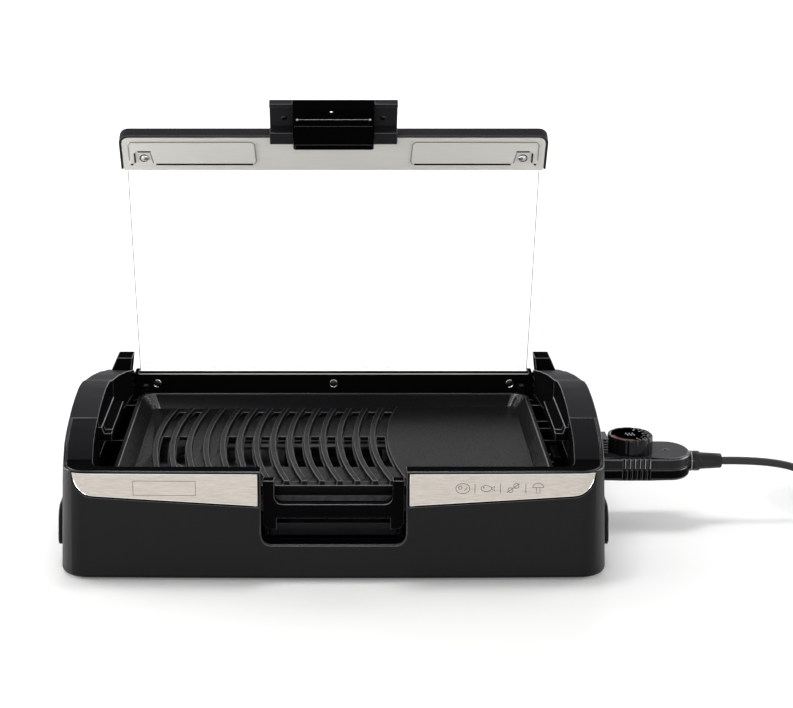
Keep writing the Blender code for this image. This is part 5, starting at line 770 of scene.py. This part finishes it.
insertSettings = {  # mm across, past the bend and out of the glass
    "half": 37.4, "surface": 8.0, "lip": (31.4, 37.6, 0.9), "ridge": (58.9, 59.7, 0.5), "sink": 0.3,
    "rod": (34.6, 67.4, 0.25), "boss": [(0, 1.2), (0.7, 1.2), (1.0, 0.8), (1.1, 0.3)], "clip": (-2.0, 76.2, 1.7, 0.5),
    "clipThick": 0.6, "screws": (47.6, 56.8, 8.6), "screwSize": 0.75, "screwTurn": 0.4, "corner": 0.35, "edge": 0.3,
    "shine": 0.12,
}
half, surface, sink = [insertSettings[key] for key in ("half", "surface", "sink")]
for name, (low, high, rise) in (("insertLip", insertSettings["lip"]), ("insertRidge", insertSettings["ridge"])):
    bm = flatPlate([(-half, low), (half, low), (half, high), (-half, high)], rise + sink, insertSettings["corner"],
                   insertSettings["edge"], 2)
    step = addPiece(name, placed(bm, paneMatrix(0, 0, sink - surface)), "lid", "bakelite", insertPhenolic, 40)
    # the steps' broken edges get the painted highlight
    roundEdges(step, insertSettings["shine"], 2, 30, edgeHighlight)
reach, along, radius = insertSettings["rod"]
rod = [lineForm([panePlace(x, along, -surface - radius * 0.6) for x in (-reach, reach)], radius)]
rod += [placed(turnedForm(insertSettings["boss"], 20), paneMatrix(x, along, -surface)) for x in (-reach, reach)]
addPiece("insertRod", joined(rod), "lid", "plated_steel")
x, y, a, b = insertSettings["clip"]
bm = flatPlate([(-a, -b), (a, -b), (a, b), (-a, b)], insertSettings["clipThick"], 0.3, 0.15, 2)
addPiece("insertClip", placed(bm, paneMatrix(x, y, -surface)), "lid", "plated_steel")
x, y, face = insertSettings["screws"]
for side, hand in sides:
    place = paneMatrix(side * x, y, face) @ Matrix.Rotation(insertSettings["screwTurn"] * side, 4, "Z")
    bm = placed(screwHead(screwSettings), place @ Matrix.Scale(insertSettings["screwSize"], 4))
    addPiece("handleScrew" + hand, bm, "lid", "plated_steel", blackZinc)
print("handle dressed")


# ---- ground edges of the pane ----

edgeSettings = {  # mm: half the pane's width at its rear and front end, then how the line lies in it
    "rear": 195.2, "front": 202.0, "low": 1.0, "inset": 0.55, "sink": 0.1, "radius": 0.34, "steps": 12, "bendSteps": 5,
}
for side, hand in sides:
    s = edgeSettings
    points = []
    for i in range(s["steps"] + 1):
        share = i / s["steps"]
        x = side * (s["rear"] + (s["front"] - s["rear"]) * share - s["inset"])
        up = s["low"] + (paneSettings["flat"] - s["low"]) * share
        points.append(leanPlace(x, up, paneSettings["face"] + s["sink"]))
    for i in range(1, s["bendSteps"] + 1):
        points.append(bendPlace(x, paneSettings["bend"] * i / s["bendSteps"], sink=s["sink"]))
    addPiece("paneEdge" + hand, lineForm(points, s["radius"], False, 2), "lid", "tempered_glass", groundEdge)
print("pane edges drawn")


# ---- front trims: a bare nameplate frame and four plain food signs ----

trimSettings = {  # metres for the CAD model's face, which leans back and bows, then mm
    "front": -0.150, "draft": 0.0042 / 0.0975, "sink": 0.0003, "bow": 0.002, "bowHalf": 0.209,
    "plaque": (-145.0, 83.4, 53.5, 12.6), "plaqueBar": 0.9, "plaqueLift": 0.1, "plaqueRise": 0.32, "plaqueEdge": 0.15,
    "groove": (0.6, 0.6), "rim": (-0.4, 0.32), "contour": 0.3, "contourSink": 0.05, "signSink": 0.1,
    "signs": (110.6, 131.9, 153.8, 175.2), "signHeight": 83.2, "bars": (121.0, 142.8, 164.6), "barHalf": 4.4,
    "line": 0.26,
}


def onTrim(x, z, proud):  # a place on the front face of a trim plate, mm to metres
    s = trimSettings
    y = s["front"] + s["draft"] * z * mm + s["sink"] + s["bow"] * (x * mm / s["bowHalf"]) ** 2
    return Vector((x * mm, y - proud * mm, z * mm))


def frontRim(node):  # the border of the trim's front face, in order
    bm = bmesh.new()
    bm.from_mesh(nodes[node].data)
    bmesh.ops.remove_doubles(bm, verts=bm.verts, dist=0.01 * mm)
    front = {f for f in bm.faces if f.normal.y < -0.85}
    border = [e for e in bm.edges if len([f for f in e.link_faces if f in front]) == 1]
    nextTo = {}
    for edge in border:
        for a, b in (edge.verts, reversed(edge.verts)):
            nextTo.setdefault(a, []).append(b)
    start = border[0].verts[0]
    loop, seen, here = [start.co.copy()], {start}, nextTo[start][0]
    while here not in seen:
        loop.append(here.co.copy())
        seen.add(here)
        here = next((v for v in nextTo[here] if v not in seen), start)
    bm.free()
    return loop


for hand in ("Left", "Right"):
    loop = frontRim("trim_plate_" + hand.lower())
    middle = sum(loop, Vector()) / len(loop)
    outwards = []
    for i, p in enumerate(loop):
        along = (loop[(i + 1) % len(loop)] - loop[i - 1]).normalized()
        outward = Vector((along.z, 0, -along.x))
        outwards.append(outward * (1 if outward.dot(p - middle) > 0 else -1))
    # the groove line is painted shade, a dark round line in the gap round each trim; the rim line is polished steel
    for kind, slot, material in (("groove", "black_abs", underShadeAbs), ("rim", "brushed_stainless", mirrorSteel)):
        out, radius = trimSettings[kind]
        points = [p + outward * out * mm for p, outward in zip(loop, outwards)]
        addPiece("trim" + kind.capitalize() + hand, lineForm(points, radius, True, 1), "base", slot, material)


def plaqueFrame(s):  # a flat bar round an empty field, on the trim's curved face
    x, z, width, height = s["plaque"]
    bm = bmesh.new()
    bmesh.ops.create_grid(bm, x_segments=16, y_segments=4, size=0.5)
    bmesh.ops.scale(bm, vec=(width * mm, height * mm, 1), verts=bm.verts)
    rim = bmesh.ops.inset_region(bm, faces=bm.faces[:], thickness=s["plaqueBar"] * mm, depth=0,
                                  use_even_offset=True)["faces"]
    bmesh.ops.translate(bm, vec=(0, 0, s["plaqueLift"] * mm), verts=bm.verts)
    ridge = liftFaces(bm, rim, (0, 0, s["plaqueRise"] * mm))
    edges = [e for e in outwardFaces(bm).edges if all(v in ridge for v in e.verts) and e.calc_face_angle(0) > 0.5]
    for v in cutEdges(bm, edges, s["plaqueEdge"]).verts:  # the flat form, front along +Z, goes onto the trim's face
        v.co = onTrim(x + v.co.x / mm, z + v.co.y / mm, v.co.z / mm)
    return outwardFaces(bm)


addPiece("plaqueFrame", plaqueFrame(trimSettings), "base", "brushed_stainless", angle=40)
x, z, width, height = trimSettings["plaque"]
corners = ((-0.5, -0.5), (0.5, -0.5), (0.5, 0.5), (-0.5, 0.5))
spots = [onTrim(x + width * a, z + height * b, -trimSettings["contourSink"]) for a, b in corners]
contour = lineForm(spots, trimSettings["contour"], True, 1)
addPiece("plaqueContour", contour, "base", "brushed_stainless", etchedLine)


foodSigns = [  # plain outlines in mm round each sign's middle, and whether they close
    [(circlePoints(0, 0, 6.0, 4.6), True), (circlePoints(-2.2, 0.8, 1.5, 1.5, 12), True),
     ([(1.2, -1.8), (3.2, -0.2), (3.6, 1.6)], False)],
    [(circlePoints(-1.2, 0, 4.6, 2.7), True), ([(3.2, 0), (6.2, 2.6), (5.4, 0), (6.2, -2.6), (3.2, 0)], False),
     (circlePoints(-3.4, 0.7, 0.45, 0.45, 8), True)],
    [([(-5.6, -3.8), (5.4, 4.2)], False), (circlePoints(-2.4, -1.6, 2.2, 2.2, 14), True),
     (circlePoints(2.6, 2.2, 2.2, 2.2, 14), True)],
    [(circlePoints(0, 0.6, 4.8, 4.0, 14, 0, 180), False), ([(-4.8, 0.6), (4.8, 0.6)], False),
     ([(-1.4, 0.6), (-1.7, -4.2), (1.7, -4.2), (1.4, 0.6)], False)],
]
barOutline = [([(0, -trimSettings["barHalf"]), (0, trimSettings["barHalf"])], False)]
signPlaces = [*zip(trimSettings["signs"], foodSigns), *((x, barOutline) for x in trimSettings["bars"])]
signs = []
for x, outlines in signPlaces:
    for points, closed in outlines:
        spots = [onTrim(x + px, trimSettings["signHeight"] + py, -trimSettings["signSink"]) for px, py in points]
        signs.append(lineForm(spots, trimSettings["line"], closed, 2))
addPiece("foodSigns", joined(signs), "base", "brushed_stainless", etchedLine)
print("trims dressed")


# ---- control knob ----

knobSettings = {  # metres for its place, then mm
    "centre": (0.2767, 0.0), "low": 0.0693, "radius": 21.0, "flutes": 12, "fluteDepth": 0.9,
    "fluteShare": 0.3, "sides": 144, "dishRadius": 18.6, "dishDepth": 0.5,
    # height in mm above the probe and share of the radius, up the wall, over the rim and into the dish
    "wall": [(0.8, 1.0), (4.5, 1.0), (9.0, 0.997), (13.9, 0.993), (14.65, 0.975), (15.0, 0.945), (15.0, 0.915)],
    "dish": (0.885, 0.3), "fluteZone": 0.93, "fluteCurve": 0.7,
}


def knobForm(s):  # a fluted wall, a rounded rim and a shallow dish
    bm = bmesh.new()
    bmesh.ops.create_circle(bm, cap_ends=False, segments=s["sides"], radius=s["radius"] * mm)
    ring = bm.edges[:]
    top = s["wall"][-1][0]
    profile = [*s["wall"], *((top - s["dishDepth"], share) for share in s["dish"])]
    level, scale = 0.0, 1.0
    for z, share in profile:
        grown = bmesh.ops.extrude_edge_only(bm, edges=ring)["geom"]
        verts = [v for v in grown if isinstance(v, bmesh.types.BMVert)]
        ring = [e for e in grown if isinstance(e, bmesh.types.BMEdge) and all(v in verts for v in e.verts)]
        bmesh.ops.translate(bm, vec=(0, 0, (z - level) * mm), verts=verts)
        bmesh.ops.scale(bm, vec=(share / scale, share / scale, 1), verts=verts)
        level, scale = z, share
    for v in bm.verts:
        radius = math.hypot(v.co.x, v.co.y)
        if radius > s["radius"] * s["fluteZone"] * mm:
            wave = (math.atan2(v.co.y, v.co.x) / (2 * math.pi) * s["flutes"]) % 1
            near = abs(wave - 0.5) / (s["fluteShare"] / 2)
            if near < 1:
                pull = 1 - s["fluteDepth"] * mm * math.cos(near * math.pi / 2) ** s["fluteCurve"] / radius
                v.co.xy *= pull
    bmesh.ops.holes_fill(bm, edges=[e for e in bm.edges if e.is_boundary])
    return placed(outwardFaces(bm), Matrix.Translation((*s["centre"], s["low"])))


knob = addPiece("controlKnob", knobForm(knobSettings), "knob", "gloss_black_abs", angle=28)
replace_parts(knob, "control_knob")
dialSettings = {  # the face in metres, then mm; the bands are inner and outer radius, start and sweep in degrees, steps
    "face": 0.0838, "inlay": 0.06, "ink": 0.05, "redBand": (14.9, 18.2, 186, 88, 26),
    "rimLine": (18.2, 18.55, 150, 110, 30), "ticks": 11, "tickIn": (15.2, 16.3), "tickOut": 18.2, "tickSweep": 1.8,
    "numbers": ["0", "1", "2", "3", "4", "5"], "numberSize": 3.4, "numberRadius": 12.9, "start": 292, "step": 27,
    "waves": (-3.0, 0.0, 3.0), "waveSwing": 0.9, "waveLow": -4.2, "waveStep": 0.7, "waveLine": 0.3,
}


def ringSector(inner, outer, start, sweep, steps, z):  # a flat band of ink on the dial
    bm = bmesh.new()
    line = [bm.verts.new((r * mm * math.cos(math.radians(start)), r * mm * math.sin(math.radians(start)), z))
            for r in (inner, outer)]
    bm.edges.new(line)
    bmesh.ops.spin(bm, geom=bm.verts[:] + bm.edges[:], cent=(0, 0, 0), axis=(0, 0, 1), angle=math.radians(sweep),
                   steps=steps, use_duplicate=False)
    return bm


def flatInk(bm):  # gives a flat print its thickness and puts it on the knob
    liftFaces(outwardFaces(bm), bm.faces[:], (0, 0, dialSettings["ink"] * mm))
    return placed(outwardFaces(bm), Matrix.Translation((*knobSettings["centre"], 0)))


s = dialSettings
face = s["face"]
disc = [(0, knobSettings["dishRadius"]), (s["inlay"], knobSettings["dishRadius"])]
inlay = turnedForm(disc, 96, (*knobSettings["centre"], face - s["inlay"] * mm))
addPiece("dialInlay", inlay, "knob", "gloss_black_abs", dialBlack)
addPiece("dialRedBand", flatInk(ringSector(*s["redBand"], face)), "knob", "gloss_black_abs", inkRed)
marks = [flatInk(ringSector(s["tickIn"][i % 2], s["tickOut"], s["start"] + s["step"] * i / 2, s["tickSweep"], 1, face))
         for i in range(s["ticks"])]
marks.append(flatInk(ringSector(*s["rimLine"], face)))


def numberForm(text, size):  # one number of the dial as a flat mesh, middle at the origin
    curve = bpy.data.curves.new("number", "FONT")
    curve.body = text
    curve.size = size * mm
    curve.align_x = curve.align_y = "CENTER"
    return curveForm(curve)


for i, text in enumerate(s["numbers"]):
    turn = math.radians(s["start"] + s["step"] * i)
    place = Matrix.Translation((0, 0, face)) @ Matrix.Rotation(turn + math.pi / 2, 4, "Z")
    place = place @ Matrix.Translation((0, -s["numberRadius"] * mm, 0))
    marks.append(flatInk(placed(numberForm(text, s["numberSize"]), place)))
for shift in s["waves"]:  # heat waves in the middle, two half periods of six steps each
    points = [(shift + s["waveSwing"] * math.sin(i * math.pi / 6), s["waveLow"] + s["waveStep"] * i) for i in range(13)]
    spots = [Vector((knobSettings["centre"][0] + x * mm, y * mm, face)) for x, y in points]
    marks.append(lineForm(spots, s["waveLine"], False, 1))
addPiece("dialMarks", joined(marks), "knob", "gloss_black_abs", inkWhite, angle=60)
print("knob made")


# ---- thermostat probe: ribbed grip, lamp, strain relief ----

gripSettings = {  # mm
    "core": (247.0, 250.6), "x": (247.0, 255.0), "halfWidth": 11.0, "low": 68.9, "fins": 6, "pitch": 2.6, "fin": 1.2,
    "sink": 0.2, "edge": 0.3,
}
s = gripSettings
layers = [(s["core"], s["low"] - s["sink"], s["low"] + s["pitch"] * (s["fins"] - 1) + s["fin"])]
layers += [(s["x"], s["low"] + s["pitch"] * i, s["low"] + s["pitch"] * i + s["fin"]) for i in range(s["fins"])]
grip = joined(boxForm((x0, -s["halfWidth"], z0), (x1, s["halfWidth"], z1)) for (x0, x1), z0, z1 in layers)
# the grip's broken edges get the painted highlight
roundEdges(addPiece("probeGrip", grip, "probe", "gloss_black_abs"), s["edge"], 2, 30, ridgeHighlight)

glintSettings = {"count": 6, "first": 269.3, "pitch": 4.6, "half": 26.0, "z": (59.0, 68.2), "radius": 0.42}  # mm
s = glintSettings
glints = []  # painted highlights: a bright line at one edge of each rib between the finger grooves
for i in range(s["count"]):
    for side in (-1, 1):
        ends = [Vector((s["first"] + s["pitch"] * i, s["half"] * side, z)) * mm for z in s["z"]]
        glints.append(lineForm(ends, s["radius"], False, 1))
addPiece("grooveGlints", joined(glints), "probe", "gloss_black_abs", ridgeHighlight)

lampLow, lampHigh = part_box("signal_lamp")
lampProfile = [(0, 2.2), (0.6, 2.2), (0.85, 1.8), (0.97, 1.0), (1, 0.3)]  # share of the height, radius in mm
lampHeight = (lampHigh.z - lampLow.z) / mm
lens = turnedForm([(share * lampHeight, radius) for share, radius in lampProfile], 32,
                  ((lampLow.x + lampHigh.x) / 2, 0, lampLow.z))
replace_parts(addPiece("signalLens", lens, "probe", "lamp_lens"), "signal_lamp")

reliefSettings = {  # its foot in metres, then mm along the lead and of radius
    "foot": (0.3333, 0, 0.0580),
    "body": [(-5.0, 6.7), (0.0, 6.7), (0.15, 8.9), (0.6, 9.4), (2.4, 9.45), (2.7, 9.1), (3.3, 9.1), (3.6, 9.45),
             (8.2, 9.4), (8.8, 9.1), (9.1, 8.4), (9.4, 8.0), (12.0, 7.75), (20.0, 7.35), (28.6, 6.9), (29.3, 6.6),
             (29.7, 5.9), (29.7, 3.9), (25.0, 3.8)],
    "ring": [(0.1, 9.1), (0.5, 9.75), (1.2, 9.75), (1.5, 9.3)],
}
body, ring = [turnedForm(reliefSettings[key], 40, reliefSettings["foot"], "X") for key in ("body", "ring")]
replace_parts(addPiece("strainRelief", body, "probe", "cord_vinyl", reliefVinyl, 30), "strain_relief")
# a thin ring in the painted highlight colour gives the flange its bright line
addPiece("reliefGlintRing", ring, "probe", "cord_vinyl", ridgeHighlight, 30)
print("probe dressed")


# ---- plug: finger ridges on the moulded body ----

plugLow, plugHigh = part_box("mains_plug")
plugSettings = {  # shares of the plug's length, then mm
    "ridges": 5, "first": 0.58, "pitch": 0.075, "half": 8.5, "wide": 0.7, "sink": 0.4, "rise": 0.5, "edge": 0.35,
}
s = plugSettings
middle, top = (plugLow.x + plugHigh.x) / 2 / mm, plugHigh.z / mm
ridges = []
for i in range(s["ridges"]):
    y = (plugLow.y + (plugHigh.y - plugLow.y) * (s["first"] + s["pitch"] * i)) / mm
    ridges.append(softBox((middle - s["half"], y - s["wide"], top - s["sink"]),
                          (middle + s["half"], y + s["wide"], top + s["rise"]), s["edge"]))
addPiece("plugRidges", joined(ridges), "probe", "cord_vinyl")
tuple(leadExit)


# ---- CAD nodes that still show get their finish ----

for node, obj in nodes.items():
    if not obj.hide_render:
        obj.data.materials.clear()
        obj.data.materials.append(finishOf.get(node, materials[slotOf[node]]))
finished["lid_glass"].visible_shadow = False  # the clear pane would otherwise darken what lies behind it


# ---- studio ----

studioSettings = {
    "floor": "#f4f4f3", "floorSize": 14.0, "world": 0.25,
    "floorGlow": (0.1, 0.85), "glowReach": (0.25, 2.4),  # how white the floor looks, near the object and metres off
    "lamps": [  # name, size, power in watts, place, aim
        ("topSoftbox", (1.0, 0.4), 20, (-0.1, 0.24, 2.0), (0.0, 0.05, 0.05)),
        ("leftSoftbox", (0.9, 0.4), 14, (-1.25, 0.1, 0.28), (0.0, 0.0, 0.06)),
        ("rightSoftbox", (0.9, 0.4), 8, (1.35, 0.1, 0.28), (0.0, 0.0, 0.06)),
        ("rearLeftSoftbox", (0.4, 0.5), 3, (-1.25, 0.75, 1.3), (0.0, 0.1, 0.08)),
        ("rearRightSoftbox", (0.4, 0.5), 3, (1.25, 0.75, 1.3), (0.0, 0.1, 0.08)),
        ("frontSoftbox", (1.6, 0.5), 10, (0.0, -1.9, 0.6), (0.0, 0.0, 0.15)),
    ],
}
floorMaterial, tree, shader, place = startMaterial("white laminate", {
    "Base Color": hexColour(studioSettings["floor"]), "Roughness": 0.3, "Specular IOR Level": 0.3})
mottle = addNode(tree, "ShaderNodeTexNoise", {"Vector": place, "Scale": 40, "Detail": 2})
finishMaterial(tree, shader, gloss=(mottle.outputs["Fac"], 0, 1, 0.28, 0.34))
floorForm = bmesh.new()
bmesh.ops.create_grid(floorForm, x_segments=2, y_segments=2, size=studioSettings["floorSize"])
meshObject("studioFloor", floorForm, floorMaterial)


def seenStrength(tree, plain, seen):  # plain lights the object, seen is what the camera, metal and glass look at
    path = addNode(tree, "ShaderNodeLightPath")
    looked = path.outputs["Is Camera Ray"]
    for ray in ("Is Glossy Ray", "Is Transmission Ray"):
        looked = addNode(tree, "ShaderNodeMath", {0: looked, 1: path.outputs[ray]}, operation="MAXIMUM").outputs[0]
    return addNode(tree, "ShaderNodeMapRange", {"Value": looked, "To Min": plain, "To Max": seen}).outputs[0]


away = addNode(tree, "ShaderNodeVectorMath", {0: place}, operation="LENGTH")
near, far = studioSettings["glowReach"]
glow = addNode(tree, "ShaderNodeMapRange", {
    "Value": away.outputs["Value"], "From Min": near, "From Max": far,
    "To Min": studioSettings["floorGlow"][0], "To Max": studioSettings["floorGlow"][1]})
shader.inputs["Emission Color"].default_value = (1, 1, 1, 1)
tree.links.new(seenStrength(tree, 0.0, glow.outputs[0]), shader.inputs["Emission Strength"])

world = bpy.data.worlds.new("studio")
bpy.context.scene.world = world
world.use_nodes = True
tree = world.node_tree
tree.nodes.clear()
sky = addNode(tree, "ShaderNodeBackground", {
    "Color": (1, 1, 1, 1), "Strength": seenStrength(tree, studioSettings["world"], 1.0)})
addNode(tree, "ShaderNodeOutputWorld", {"Surface": sky.outputs[0]})

for name, size, power, place, aim in studioSettings["lamps"]:
    lampData = bpy.data.lights.new(name, "AREA")
    lampData.shape = "RECTANGLE"
    lampData.size, lampData.size_y = size
    lampData.energy = power
    lampObject = bpy.data.objects.new(name, lampData)
    lampObject.location = place
    lampObject.rotation_euler = (Vector(aim) - Vector(place)).to_track_quat("-Z", "Y").to_euler()
    bpy.context.scene.collection.objects.link(lampObject)

bpy.context.scene.view_settings.view_transform = "Standard"
print("studio lit")
